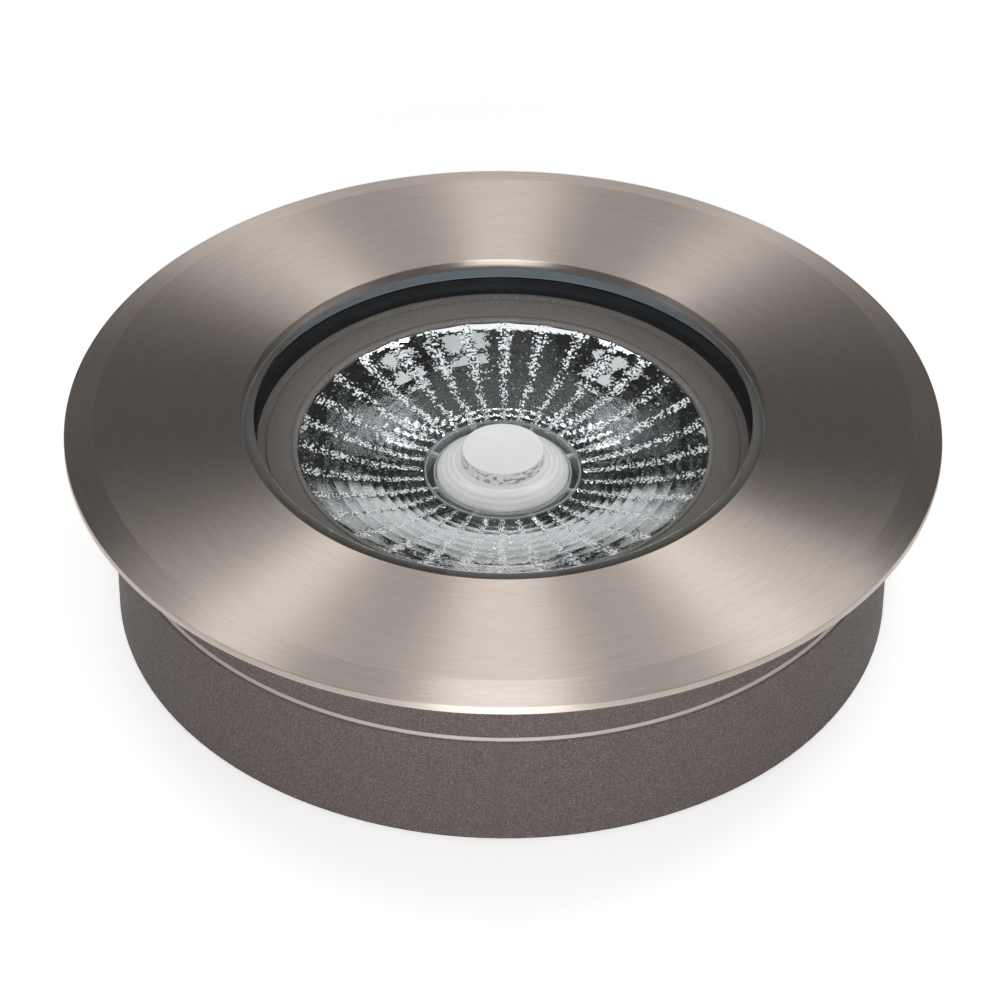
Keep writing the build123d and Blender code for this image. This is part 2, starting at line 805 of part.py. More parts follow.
with BuildPart() as gland_body:
    across_gland(gland_hex_y, gland_hex_thickness, gland_flats)
    along_gland(
        [
            (0, gland_inner_end_y),
            (gland_thread_radius, gland_inner_end_y),
            (gland_thread_radius, gland_neck_end_y),
            (0, gland_neck_end_y),
        ]
    )
    gland_bore_plane = Plane(origin=(0, gland_inner_end_y, gland_z), x_dir=(1, 0, 0), z_dir=(0, 1, 0))
    with BuildSketch(gland_bore_plane):
        Circle(gland_bore_radius)
    extrude(amount=gland_neck_end_y - gland_inner_end_y, mode=Mode.SUBTRACT)
    with BuildSketch(gland_bore_plane.offset(bush_start_y - gland_inner_end_y)):
        Circle(bush_radius + thread_clearance)
    extrude(amount=bush_step, mode=Mode.SUBTRACT)

with BuildPart() as gland_washer:
    along_gland(
        [
            (gland_thread_radius + thread_clearance, gland_wall_y),
            (gland_washer_radius, gland_wall_y),
            (gland_washer_radius, gland_hex_y),
            (gland_thread_radius + thread_clearance, gland_hex_y),
        ]
    )

with BuildPart() as gland_locknut:
    across_gland(gland_inner_wall_y - locknut_thickness, locknut_thickness, gland_flats)
    locknut_plane = Plane(
        origin=(0, gland_inner_wall_y - locknut_thickness, gland_z), x_dir=(1, 0, 0), z_dir=(0, 1, 0)
    )
    with BuildSketch(locknut_plane):
        Circle(gland_thread_radius + thread_clearance)
    extrude(amount=locknut_thickness, mode=Mode.SUBTRACT)

with BuildPart() as gland_bush:
    along_gland(
        [
            (cable_radius, bush_start_y),
            (bush_radius, bush_start_y),
            (bush_radius, gland_neck_end_y),
            (bush_end_radius, bush_end_y),
            (cable_radius, bush_end_y),
        ]
    )

with BuildPart() as gland_cap:
    across_gland(cap_start_y, cap_length, gland_flats)
    cap_plane = Plane(origin=(0, cap_start_y, gland_z), x_dir=(1, 0, 0), z_dir=(0, 1, 0))
    with BuildSketch(cap_plane):
        Circle(cap_thread_radius)
    extrude(amount=cap_length - cap_end_wall, mode=Mode.SUBTRACT)
    with BuildSketch(cap_plane):
        Circle(cap_hole_radius)
    extrude(amount=cap_length, mode=Mode.SUBTRACT)
    chamfer(gland_cap.faces().sort_by(Axis.Y)[-1].outer_wire().edges(), cap_edge_chamfer)

# ---------------------------------------------------------------- label and write every piece
pieces = {
    "bezel_ring": bezel_ring,
    "bezel_collar": bezel_collar,
    "bezel_studs": bezel_studs,
    "glass_disc": glass_disc,
    "glass_bond_seal": glass_bond_seal,
    "glass_gasket": glass_gasket,
    "bezel_seal": bezel_seal,
    "trim_ring": trim_ring,
    "reflector": reflector,
    "lens": lens,
    "lens_holder": lens_holder,
    "led_board": led_board,
    "thermal_pad": thermal_pad,
    "led_emitter": led_emitter,
    "led_phosphor": led_phosphor,
    "board_screws": board_screws,
    "upper_housing": upper_housing,
    "lower_housing": lower_housing,
    "housing_gasket": housing_gasket,
    "housing_screws": housing_screws,
    "stud_washers": stud_washers,
    "stud_nuts": stud_nuts,
    "driver_board": driver_board,
    "driver_screws": driver_screws,
    "driver_transformer": driver_transformer,
    "driver_capacitors": driver_capacitors,
    "driver_chips": driver_chips,
    "terminal_block": terminal_block,
    "terminal_screws": terminal_screws,
    "lead_grommet": lead_grommet,
    "led_lead_red": led_lead_red,
    "led_lead_black": led_lead_black,
    "gland_body": gland_body,
    "gland_washer": gland_washer,
    "gland_locknut": gland_locknut,
    "gland_bush": gland_bush,
    "gland_cap": gland_cap,
}

os.makedirs("parts", exist_ok=True)
for name, piece in pieces.items():
    piece.part.label = name
    export_step(piece.part, f"parts/{name}.step")
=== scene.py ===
"""In-ground well light: brushed steel ring, thick glass, faceted mirror dish and a sparkling grey casting.

All lengths are metres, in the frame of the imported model: +Z up along the light's axis, origin in the
plane of the underside, +Y towards the side where the cable leaves.
"""

import functools
import json
import logging
import math
from dataclasses import dataclass
from enum import Enum

import bpy
import numpy as np
from mathutils import Matrix

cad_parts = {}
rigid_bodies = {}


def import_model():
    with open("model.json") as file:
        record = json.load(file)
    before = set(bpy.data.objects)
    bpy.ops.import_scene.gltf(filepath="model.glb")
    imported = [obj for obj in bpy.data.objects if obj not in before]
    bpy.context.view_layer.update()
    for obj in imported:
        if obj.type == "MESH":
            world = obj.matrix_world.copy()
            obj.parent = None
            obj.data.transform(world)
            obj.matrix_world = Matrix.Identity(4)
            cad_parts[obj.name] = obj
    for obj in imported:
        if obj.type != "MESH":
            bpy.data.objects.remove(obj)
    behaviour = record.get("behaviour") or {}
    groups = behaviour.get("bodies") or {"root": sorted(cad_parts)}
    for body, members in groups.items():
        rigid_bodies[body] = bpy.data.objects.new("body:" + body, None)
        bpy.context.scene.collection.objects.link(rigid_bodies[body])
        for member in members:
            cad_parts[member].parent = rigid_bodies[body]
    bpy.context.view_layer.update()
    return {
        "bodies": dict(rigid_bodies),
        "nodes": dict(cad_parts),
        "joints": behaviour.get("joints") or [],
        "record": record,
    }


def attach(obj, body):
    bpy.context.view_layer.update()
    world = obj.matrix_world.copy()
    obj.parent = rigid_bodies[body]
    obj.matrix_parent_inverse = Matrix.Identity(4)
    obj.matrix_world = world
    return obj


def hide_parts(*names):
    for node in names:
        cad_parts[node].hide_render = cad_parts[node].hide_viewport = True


log = logging.getLogger("well_light")

MM = 0.001

Colour = tuple[float, float, float]
Corner = tuple[float, float]
Place = tuple[float, float, float]

# Keeps a radius above nought on the axis itself.
TINY = 1e-9
ACRYLIC_INDEX = 1.49


def shaded(colour: Colour, share: float) -> Colour:
    """The colour made darker or lighter by a share, and never over one."""
    return tuple(min(1.0, share * part) for part in colour)


# --- shader sheets
class Signal:
    """One output of a shader node, with arithmetic that adds Math nodes."""

    def __init__(self, sheet: "Sheet", socket: bpy.types.NodeSocket) -> None:
        """Keep the sheet the output is on and the output itself."""
        self.sheet = sheet
        self.socket = socket

    def __add__(self, other: "Source") -> "Signal":
        """Sum."""
        return self.sheet.step("ADD", self, other)

    __radd__ = __add__

    def __sub__(self, other: "Source") -> "Signal":
        """Difference."""
        return self.sheet.step("SUBTRACT", self, other)

    def __rsub__(self, other: "Source") -> "Signal":
        """Difference from a number."""
        return self.sheet.step("SUBTRACT", other, self)

    def __mul__(self, other: "Source") -> "Signal":
        """Product."""
        return self.sheet.step("MULTIPLY", self, other)

    __rmul__ = __mul__

    def __truediv__(self, other: "Source") -> "Signal":
        """Quotient."""
        return self.sheet.step("DIVIDE", self, other)

    def __pow__(self, other: "Source") -> "Signal":
        """Power."""
        return self.sheet.step("POWER", self, other)

    def ramp(self, low: float, high: float, start: float = 0.0, end: float = 1.0) -> "Signal":
        """Smooth step from start to end while the value goes from low to high."""
        settings = {"interpolation_type": "SMOOTHSTEP"}
        return self.sheet.add("ShaderNodeMapRange", settings, {0: self, 1: low, 2: high, 3: start, 4: end})


Source = Signal | float | tuple


class Sheet:
    """The node tree of one material or of the world, drawn by method calls."""

    def __init__(self, tree: bpy.types.NodeTree) -> None:
        """Take an empty tree to draw on."""
        self.tree = tree
        tree.nodes.clear()

    def add(
        self,
        kind: str,
        settings: dict[str, object] | None = None,
        inputs: dict[int | str, Source] | None = None,
        output: int | str = 0,
    ) -> Signal:
        """Add one node.

        Args:
            kind: the node's type name.
            settings: the node's own settings, set before anything is linked.
            inputs: values or signals for its sockets, by number or name.
            output: which of its outputs is returned.

        Returns:
            The chosen output as a signal.
        """
        node = self.tree.nodes.new(kind)
        for name, value in (settings or {}).items():
            setattr(node, name, value)
        for name, value in (inputs or {}).items():
            if isinstance(value, Signal):
                self.tree.links.new(value.socket, node.inputs[name])
            else:
                node.inputs[name].default_value = value
        return Signal(self, node.outputs[output] if len(node.outputs) else None)

    def point(self) -> Signal:
        """Place on the piece, in metres."""
        return self.add("ShaderNodeTexCoord", output="Object")

    def split(self, vector: Signal) -> tuple[Signal, Signal, Signal]:
        """The three numbers of a vector.

        Args:
            vector: the vector to take apart.

        Returns:
            Its x, y and z.
        """
        first = self.add("ShaderNodeSeparateXYZ", inputs={0: vector})
        outputs = first.socket.node.outputs
        return first, Signal(self, outputs[1]), Signal(self, outputs[2])

    def join(self, x: Source, y: Source, z: Source) -> Signal:
        """A vector from three numbers."""
        return self.add("ShaderNodeCombineXYZ", inputs={0: x, 1: y, 2: z})

    def vector(self, operation: str, first: Source, second: Source = (0.0, 0.0, 0.0)) -> Signal:
        """Add one Vector Math node for the operation on two vectors."""
        return self.add("ShaderNodeVectorMath", {"operation": operation}, {0: first, 1: second})

    def noise(self, vector: Signal, scale: float, detail: float = 2.0, rough: float = 0.5) -> Signal:
        """Cloudy noise about one half, with so many features per unit and octaves of finer noise."""
        inputs = {"Vector": vector, "Scale": scale, "Detail": detail, "Roughness": rough}
        return self.add("ShaderNodeTexNoise", inputs=inputs)

    def blend(self, share: Source, first: Source, second: Source) -> Signal:
        """Colour mixed from the first to the second by a share.

        Args:
            share: nought for the first colour, one for the second.
            first: colour or colour signal.
            second: colour or colour signal.

        Returns:
            The mixed colour.
        """
        colours = [value if isinstance(value, Signal) else (*value, 1.0) for value in (first, second)]
        inputs = {0: share, 6: colours[0], 7: colours[1]}
        return self.add("ShaderNodeMix", {"data_type": "RGBA"}, inputs, output=2)

    def bump(self, height: Signal, depth: float) -> Signal:
        """Normal bent by a height from nought to one, which stands for a depth in metres."""
        return self.add("ShaderNodeBump", inputs={"Height": height, "Distance": depth, "Strength": 1.0})

    def polar(self) -> tuple[Signal, Signal, Signal, Signal]:
        """Place on the piece as x, y, z and the distance from the light's axis."""
        x, y, z = self.split(self.point())
        return x, y, z, (x * x + y * y + TINY) ** 0.5

    def step(self, operation: str, first: Source, second: Source = 0.0) -> Signal:
        """Add one Math node for an operation that has no Python sign."""
        return self.add("ShaderNodeMath", {"operation": operation}, {0: first, 1: second})

    def see_through(self, surface: Signal, tint: Colour) -> Signal:
        """Let the lamps' light pass the surface with no more than a tint.

        Args:
            surface: the clear surface's shader.
            tint: colour of the light that passes.

        Returns:
            The surface for all rays but those of shadows.
        """
        shadow = self.add("ShaderNodeLightPath", output="Is Shadow Ray")
        through = self.add("ShaderNodeBsdfTransparent", inputs={0: (*tint, 1.0)})
        return self.add("ShaderNodeMixShader", inputs={0: shadow, 1: surface, 2: through})

    def principled(self, **sockets: Source) -> Signal:
        """The main shader. Socket names are given with underscores for spaces.

        Args:
            sockets: values or signals of its sockets.

        Returns:
            The shader's output.
        """
        inputs: dict[int | str, Source] = {}
        for name, value in sockets.items():
            plain_colour = isinstance(value, tuple) and len(value) == 3
            inputs[name.replace("_", " ")] = (*value, 1.0) if plain_colour else value
        return self.add("ShaderNodeBsdfPrincipled", inputs=inputs)


# --- finishes
@dataclass(frozen=True)
class Finish:
    """A surface finish that can be built into one material."""

    name: str

    def shade(self, sheet: Sheet) -> Signal:
        """Draw the finish on a sheet and return its shader."""
        raise NotImplementedError

    @functools.cache
    def material(self) -> bpy.types.Material:
        """Build the material once and keep it.

        Returns:
            The material of this finish.
        """
        material = bpy.data.materials.new(self.name)
        material.use_nodes = True
        sheet = Sheet(material.node_tree)
        sheet.add("ShaderNodeOutputMaterial", inputs={"Surface": self.shade(sheet)})
        return material


@dataclass(frozen=True)
class BrushedSteel(Finish):
    """Stainless steel with fine scratches that run round the light's axis."""

    colour: Colour = (0.89, 0.785, 0.71)
    roughness: float = 0.43
    anisotropic: float = 1.0
    scratch_turns: float = 14.0
    scratch_pitch: float = 0.00016
    scratch_depth: float = 0.000001
    height_share: float = 0.8
    roughness_drift: float = 0.06

    def shade(self, sheet: Sheet) -> Signal:
        """Scratches are noise on the direction round the axis, stretched, and on the radius, packed tight."""
        x, y, z, radius = sheet.polar()
        around_x = x / radius * self.scratch_turns
        around_y = y / radius * self.scratch_turns
        across = (radius + z * self.height_share) / self.scratch_pitch
        fine = sheet.noise(sheet.join(around_x, around_y, across), 1.0, 3.0, 0.6)
        broad = sheet.noise(sheet.join(around_x * 0.4, around_y * 0.4, across * 0.3), 1.0, 2.0)
        tone = fine * 0.7 + broad * 0.3
        tint = sheet.blend(tone.ramp(0.3, 0.7), shaded(self.colour, 0.92), shaded(self.colour, 1.06))
        return sheet.principled(
            Base_Color=tint,
            Metallic=1.0,
            Roughness=tone * self.roughness_drift + (self.roughness - self.roughness_drift / 2),
            Anisotropic=self.anisotropic,
            Anisotropic_Rotation=0.25,
            Normal=sheet.bump(fine, self.scratch_depth),
        )


@dataclass(frozen=True)
class ClearGlass(Finish):
    """Clear toughened glass that lets the lamps through, with the faintest haze of use."""

    tint: Colour = (0.965, 0.985, 0.99)
    index: float = 1.5

    def shade(self, sheet: Sheet) -> Signal:
        """Clear glass whose polish varies a little, and plain tinted light for shadow rays."""
        haze = sheet.noise(sheet.point(), 60.0, 3.0)
        surface = sheet.principled(
            Base_Color=self.tint,
            Roughness=haze.ramp(0.45, 0.8, 0.0, 0.02),
            IOR=self.index,
            Transmission_Weight=1.0,
        )
        return sheet.see_through(surface, self.tint)


@dataclass(frozen=True)
class PowderCoat(Finish):
    """Powder paint over metal: fine orange peel, grain and, where it sparkles, bright flecks; where set, a
    painted highlight in a light band.
    """

    colour: Colour = (0.178, 0.152, 0.146)
    grain: float = 0.00035
    grain_depth: float = 0.00002
    fleck: float = 0.5
    roughness: float = 0.5
    shine: float = 0.2
    # Where and in what colour the painted highlight lies: a light band that stands for light on the ledge's
    # chamfer.
    bare_low: float = 1.0
    bare_high: float = 1.001
    bare_radius: float = 0.0796
    bare_edge: float = 0.00004
    bare: Colour = (0.84, 0.78, 0.74)

    def shade(self, sheet: Sheet) -> Signal:
        """Colour from fine grain noise, flecks where a second noise stands high, and a painted highlight: a
        light band where the ledge's chamfer catches the overhead light.
        """
        point = sheet.point()
        _, _, z, radius = sheet.polar()
        # Painted highlight: a light, partly metallic band on the ledge's chamfer where overhead light falls.
        edge = self.bare_edge
        band = z.ramp(self.bare_low - edge, self.bare_low)
        band = band * z.ramp(self.bare_high, self.bare_high + edge, 1.0, 0.0)
        band = band * radius.ramp(self.bare_radius - edge, self.bare_radius)
        grain = sheet.noise(point, 1.0 / self.grain, 3.0, 0.6)
        spark = sheet.noise(point, 2.2 / self.grain, 1.0)
        cloud = sheet.noise(point, 60.0, 2.0)
        ground = sheet.blend(grain.ramp(0.32, 0.68), shaded(self.colour, 0.72), shaded(self.colour, 1.25))
        flecks = spark.ramp(0.62, 0.72) * self.fleck
        speckled = sheet.blend(flecks, ground, shaded(self.colour, 3.6))
        return sheet.principled(
            Base_Color=sheet.blend(band, speckled, self.bare),
            Metallic=flecks * 0.7 + band * 0.3,
            Roughness=cloud * 0.1 + (self.roughness - 0.05) - flecks * 0.2,
            Specular_IOR_Level=self.shine,
            Normal=sheet.bump(grain, self.grain_depth),
        )


@dataclass(frozen=True)
class MirrorCoat(Finish):
    """Vacuum-coated mirror over a moulded grid of tiny squares, some of them stippled matt."""

    colour: Colour = (0.95, 0.955, 0.96)
    roughness: float = 0.012
    columns: int = 32
    squares_round: int = 576
    square_pitch: float = 0.00034
    calm_tilt: float = 0.006
    wild_tilt: float = 0.12
    matt: float = 0.55
    matt_colour: Colour = (0.5, 0.51, 0.53)
    matt_metal: float = 0.2
    matt_roughness: float = 0.4
    line_pitch: float = 0.0021
    patch_scale: float = 260.0

    def shade(self, sheet: Sheet) -> Signal:
        """Draw the squares and let a noise choose each one's tilt and polish.

        A square is one whole step of the turn angle and of the radius. The squares lean and turn matt
        most of all along the borders of the columns, and the same all round the dish.

        Args:
            sheet: the sheet to draw on.

        Returns:
            The shader.
        """
        x, y, _, radius = sheet.polar()
        turn = sheet.step("ARCTAN2", y, x) * (1 / (2 * math.pi))
        square = sheet.vector("FLOOR", sheet.join(turn * self.squares_round, radius / self.square_pitch, 0.0))
        noise = {"noise_dimensions": "2D"}
        chance = sheet.add("ShaderNodeTexWhiteNoise", noise, {"Vector": square}, output="Color")
        draw = sheet.add("ShaderNodeTexWhiteNoise", noise, {"Vector": square}, output="Value")
        across = sheet.step("FRACT", turn * self.columns)
        border = ((across - 0.5) * (across - 0.5)).ramp(0.04, 0.22, 0.15, 1.0)
        patch = sheet.noise(sheet.point(), self.patch_scale, 2.0).ramp(0.35, 0.65, 0.6, 1.3)
        line = sheet.step("FRACT", radius / self.line_pitch)
        share = border * patch * line.ramp(0.1, 0.3, 0.5, 1.1) * self.matt
        matt = (share - draw).ramp(0.0, 0.2)
        tone = 1.0 - matt * draw.ramp(0.0, 0.8, 0.0, 0.6)
        tilt = border * (self.wild_tilt - self.calm_tilt) + self.calm_tilt
        lean = sheet.vector("SUBTRACT", chance, (0.5, 0.5, 0.5))
        lean = sheet.vector("MULTIPLY", lean, sheet.join(tilt, tilt, tilt))
        facing = sheet.add("ShaderNodeNewGeometry", output="Normal")
        return sheet.principled(
            Base_Color=sheet.blend(tone, self.matt_colour, self.colour),
            Metallic=matt * (self.matt_metal - 1.0) + 1.0,
            Roughness=matt * self.matt_roughness + self.roughness,
            Normal=sheet.vector("NORMALIZE", sheet.vector("ADD", facing, lean)),
        )


@dataclass(frozen=True)
class Frosted(Finish):
    """Frosted translucent plastic with faint turned rings from its mould."""

    colour: Colour = (0.93, 0.89, 0.862)
    ring_pitch: float = 0.0011
    ring_depth: float = 0.000012
    ring_start: float = 0.0086
    ring_fade: float = 0.0004
    frost_scale: float = 5000.0
    roughness: float = 0.34

    def shade(self, sheet: Sheet) -> Signal:
        """Rings are a sine of the radius outside the button, and the frosting is fine noise."""
        _, _, _, radius = sheet.polar()
        rings = sheet.step("SINE", radius * (2 * math.pi / self.ring_pitch))
        rings = rings * radius.ramp(self.ring_start, self.ring_start + self.ring_fade, 0.12, 1.0)
        frost = sheet.noise(sheet.point(), self.frost_scale, 2.0)
        height = rings * 0.5 + frost * 0.25
        tint = sheet.blend(rings.ramp(-1.0, 1.0), shaded(self.colour, 0.93), shaded(self.colour, 1.06))
        return sheet.principled(
            Base_Color=tint,
            Roughness=frost * 0.1 + (self.roughness - 0.05),
            IOR=ACRYLIC_INDEX,
            Coat_Weight=0.5,
            Coat_Roughness=0.06,
            Normal=sheet.bump(height, self.ring_depth),
        )


@dataclass(frozen=True)
class ClearPlastic(Finish):
    """Clear moulded plastic that lets the lamps through."""

    tint: Colour = (0.95, 0.96, 0.965)
    roughness: float = 0.08
    clear: float = 0.75
    wave_depth: float = 0.00001

    def shade(self, sheet: Sheet) -> Signal:
        """Clear plastic with a faint moulded waviness."""
        wave = sheet.noise(sheet.point(), 1200.0, 2.0)
        surface = sheet.principled(
            Base_Color=self.tint,
            Roughness=wave * 0.06 + (self.roughness - 0.03),
            IOR=ACRYLIC_INDEX,
            Transmission_Weight=self.clear,
            Normal=sheet.bump(wave, self.wave_depth),
        )
        return sheet.see_through(surface, self.tint)


@dataclass(frozen=True)
class Moulded(Finish):
    """Plastic, rubber, paint or ceramic with a fine grain and a little colour drift."""

    colour: Colour = (0.03, 0.03, 0.035)
    roughness: float = 0.5
    grain: float = 0.0005
    grain_depth: float = 0.00001
    drift: float = 0.12
    shine: float = 0.5

    def shade(self, sheet: Sheet) -> Signal:
        """Colour drifts with coarse noise, and the grain is fine noise."""
        point = sheet.point()
        grain = sheet.noise(point, 1.0 / self.grain, 3.0)
        coarse = sheet.noise(point, 180.0, 2.0)
        dark, light = shaded(self.colour, 1.0 - self.drift), shaded(self.colour, 1.0 + self.drift)
        return sheet.principled(
            Base_Color=sheet.blend(coarse.ramp(0.3, 0.7), dark, light),
            Roughness=grain * 0.14 + (self.roughness - 0.07),
            Specular_IOR_Level=self.shine,
            Normal=sheet.bump(grain, self.grain_depth),
        )


@dataclass(frozen=True)
class GroundEdge(Finish):
    """Ground edge of the glass: warm grey on the chamfer and bluish grey down the wall."""

    chamfer: Colour = (0.17, 0.158, 0.145)
    wall: Colour = (0.15, 0.172, 0.192)
    turn_high: float = 0.0434
    turn_low: float = 0.0431
    waver: float = 0.0002
    grind_scale: float = 4000.0
    grind_depth: float = 0.000003

    def shade(self, sheet: Sheet) -> Signal:
        """Colour goes from the chamfer's to the wall's with the height, and fine noise grinds it."""
        point = sheet.point()
        _, _, z = sheet.split(point)
        grind = sheet.noise(point, self.grind_scale, 3.0)
        place = z + grind * self.waver
        tint = sheet.blend(place.ramp(self.turn_low, self.turn_high), self.wall, self.chamfer)
        return sheet.principled(
            Base_Color=tint,
            Roughness=grind * 0.1 + 0.5,
            Specular_IOR_Level=0.05,
            Normal=sheet.bump(grind, self.grind_depth),
        )


@dataclass(frozen=True)
class Sparkling(Finish):
    """Polished upright wall of the lens's button, finely ribbed, with a painted reflection: dark streaks on a
    near-white colour stand for the glints in the clear plastic.
    """

    colour: Colour = (0.97, 0.95, 0.93)
    rib_pitch: float = 0.0006
    rib_depth: float = 0.00005
    # How many streaks go round the wall and how dark they are, for the painted reflection.
    dashes: float = 7.0
    dark: float = 0.35

    def shade(self, sheet: Sheet) -> Signal:
        """Ribs follow the height, and the painted reflection's dark streaks are noise stretched round the
        wall.
        """
        x, y, z, radius = sheet.polar()
        around = sheet.join(x / radius * self.dashes, y / radius * self.dashes, z / self.rib_pitch)
        reflection_noise = sheet.noise(around, 1.0, 2.0)
        return sheet.principled(
            # Painted reflection: dark streaks on a near-white colour stand for the glints of light in the
            # clear wall.
            Base_Color=sheet.blend(reflection_noise.ramp(0.5, 0.62), self.colour, shaded(self.colour, self.dark)),
            Roughness=reflection_noise * 0.2 + 0.1,
            IOR=ACRYLIC_INDEX,
            Coat_Weight=0.6,
            Coat_Roughness=0.05,
            Normal=sheet.bump(reflection_noise, self.rib_depth),
        )


@dataclass(frozen=True)
class PlatedMetal(Finish):
    """Small plated or turned metal parts with light wear."""

    colour: Colour = (0.6, 0.6, 0.62)
    roughness: float = 0.3

    def shade(self, sheet: Sheet) -> Signal:
        """Roughness and colour waver with noise, as on tumbled parts."""
        point = sheet.point()
        wear = sheet.noise(point, 600.0, 4.0, 0.6)
        fine = sheet.noise(point, 4000.0, 2.0)
        return sheet.principled(
            Base_Color=sheet.blend(wear.ramp(0.35, 0.7), self.colour, shaded(self.colour, 0.82)),
            Metallic=1.0,
            Roughness=wear * 0.2 + (self.roughness - 0.1),
            Normal=sheet.bump(fine, 0.000004),
        )


class Slot(Enum):
    """The record's material slots, each with its finish."""

    RING_STEEL = BrushedSteel("ring_steel")
    CLEAR_GLASS = ClearGlass("clear_glass")
    EDGE_SEALANT = Moulded("edge_sealant", (0.21, 0.23, 0.255), 0.35)
    BLACK_RUBBER = Moulded("black_rubber", (0.008, 0.008, 0.009), 0.6, shine=0.12)
    TRIM_COAT = PowderCoat("trim_coat", (0.155, 0.135, 0.125), 0.00028, 0.000008, 0.35, 0.5)
    MIRROR_COAT = MirrorCoat("mirror_coat")
    FROSTED_PLASTIC = Frosted("frosted_plastic")
    CLEAR_PLASTIC = ClearPlastic("clear_plastic")
    DARK_BOARD = Moulded("dark_board", (0.055, 0.057, 0.058), 0.45)
    THERMAL_GREY = Moulded("thermal_grey", (0.2, 0.21, 0.22), 0.8)
    WHITE_CERAMIC = Moulded("white_ceramic", (0.8, 0.8, 0.77), 0.3, drift=0.03)
    YELLOW_PHOSPHOR = Moulded("yellow_phosphor", (0.8, 0.62, 0.12), 0.35, drift=0.06)
    ZINC_SCREWS = PlatedMetal("zinc_screws", (0.62, 0.63, 0.65), 0.32)
    STAINLESS_FIXINGS = PlatedMetal("stainless_fixings", (0.58, 0.56, 0.54), 0.3)
    # The casting's coat carries a painted highlight in a band along the ledge where the two castings meet.
    CASTING_COAT = PowderCoat("casting_coat", fleck=0.8, shine=0.05, bare_low=0.02605, bare_high=0.02652)
    GREEN_BOARD = Moulded("green_board", (0.02, 0.16, 0.06), 0.35)
    COIL_TAPE = Moulded("coil_tape", (0.5, 0.33, 0.05), 0.4)
    CAPACITOR_SLEEVE = Moulded("capacitor_sleeve", (0.012, 0.012, 0.02), 0.3)
    CHIP_BLACK = Moulded("chip_black", (0.012, 0.012, 0.012), 0.5)
    TERMINAL_GREY = Moulded("terminal_grey", (0.42, 0.44, 0.42), 0.45)
    TERMINAL_BRASS = PlatedMetal("terminal_brass", (0.72, 0.5, 0.2), 0.3)
    LEAD_RED_SKIN = Moulded("lead_red_skin", (0.45, 0.012, 0.012), 0.4)
    LEAD_BLACK_SKIN = Moulded("lead_black_skin", (0.012, 0.012, 0.012), 0.4)
    GLAND_PLASTIC = Moulded("gland_plastic", (0.014, 0.014, 0.016), 0.42)

    @property
    def key(self) -> str:
        """The slot's name in the record."""
        return self.name.lower()


GROUND_EDGE = GroundEdge("ground_edge")
# The button's wall wears a painted reflection of glints in the clear plastic.
POLISHED_WALL = Sparkling("polished_wall")
BEAD_COAT = PowderCoat("bead_coat", (0.2, 0.18, 0.17), 0.0003, 0.000002, 0.1, 0.24)


# --- surfaces
@dataclass(frozen=True)
class Profile:
    """An outline of (radius, height) points with the way each point faces."""

    line: np.ndarray
    facing: np.ndarray
    closed: bool

    @classmethod
    def rounded(
        cls, corners: list[Corner], radii: float | list[float], closed: bool = True, steps: int = 5
    ) -> "Profile":
        """Outline whose corners are small arcs.

        Each corner is cut back along both its edges by the arc's radius divided by the tangent of half
        the corner's angle. The arc turns about the point on the corner's bisector at the radius divided
        by the sine of that half angle. All arcs are worked out at once. An open outline starts and ends
        on the axis, and these two points stay as they are.

        Args:
            corners: (radius, height) corners in millimetres, counter-clockwise round the material.
            radii: arc radius in millimetres, one for all corners or one for each rounded corner.
            closed: whether the last corner joins the first.
            steps: points on each arc.

        Returns:
            The outline in metres, with outward directions.
        """
        here = np.asarray(corners, float) * MM
        before = np.roll(here, 1, axis=0) - here
        after = np.roll(here, -1, axis=0) - here
        if not closed:
            here, before, after = here[1:-1], before[1:-1], after[1:-1]
        before /= np.linalg.norm(before, axis=1, keepdims=True)
        after /= np.linalg.norm(after, axis=1, keepdims=True)
        half = np.arccos(np.clip((before * after).sum(1), -1, 1)) / 2
        reach = np.broadcast_to(np.asarray(radii, float) * MM, half.shape)[:, None]
        middle = before + after
        middle /= np.linalg.norm(middle, axis=1, keepdims=True)
        centre = here + middle * reach / np.sin(half)[:, None]
        start = (here + before * reach / np.tan(half)[:, None] - centre) / reach
        end = (here + after * reach / np.tan(half)[:, None] - centre) / reach
        sweep = (math.pi - 2 * half)[:, None, None]
        share = np.linspace(0, 1, steps)[None, :, None]
        fan = np.sin((1 - share) * sweep) * start[:, None] + np.sin(share * sweep) * end[:, None]
        fan = fan / np.sin(sweep)
        turn = before[:, 1] * after[:, 0] - before[:, 0] * after[:, 1]
        side = np.sign(turn)[:, None, None]
        line = (centre[:, None] + reach[:, None] * fan).reshape(-1, 2)
        facing = (fan * side).reshape(-1, 2)
        if not closed:
            line = np.vstack([np.asarray(corners[0]) * MM, line, np.asarray(corners[-1]) * MM])
            facing = np.vstack([facing[0], facing, facing[-1]])
        return cls(line, facing, closed)


def grid_quads(rows: int, columns: int, wrap_rows: bool) -> np.ndarray:
    """Faces of a grid of points that closes round its columns.

    Args:
        rows: points along the first way.
        columns: points along the second way, which closes on itself.
        wrap_rows: whether the last row joins the first.

    Returns:
        Four point numbers for each face, turned so that an outline that goes counter-clockwise faces out.
    """
    row = np.arange(rows if wrap_rows else rows - 1)[:, None]
    column = np.arange(columns)[None, :]
    next_row, next_column = (row + 1) % rows, (column + 1) % columns
    faces = [
        row * columns + column,
        row * columns + next_column,
        next_row * columns + next_column,
        next_row * columns + column,
    ]
    return np.stack(np.broadcast_arrays(*faces), axis=-1).reshape(-1, 4)


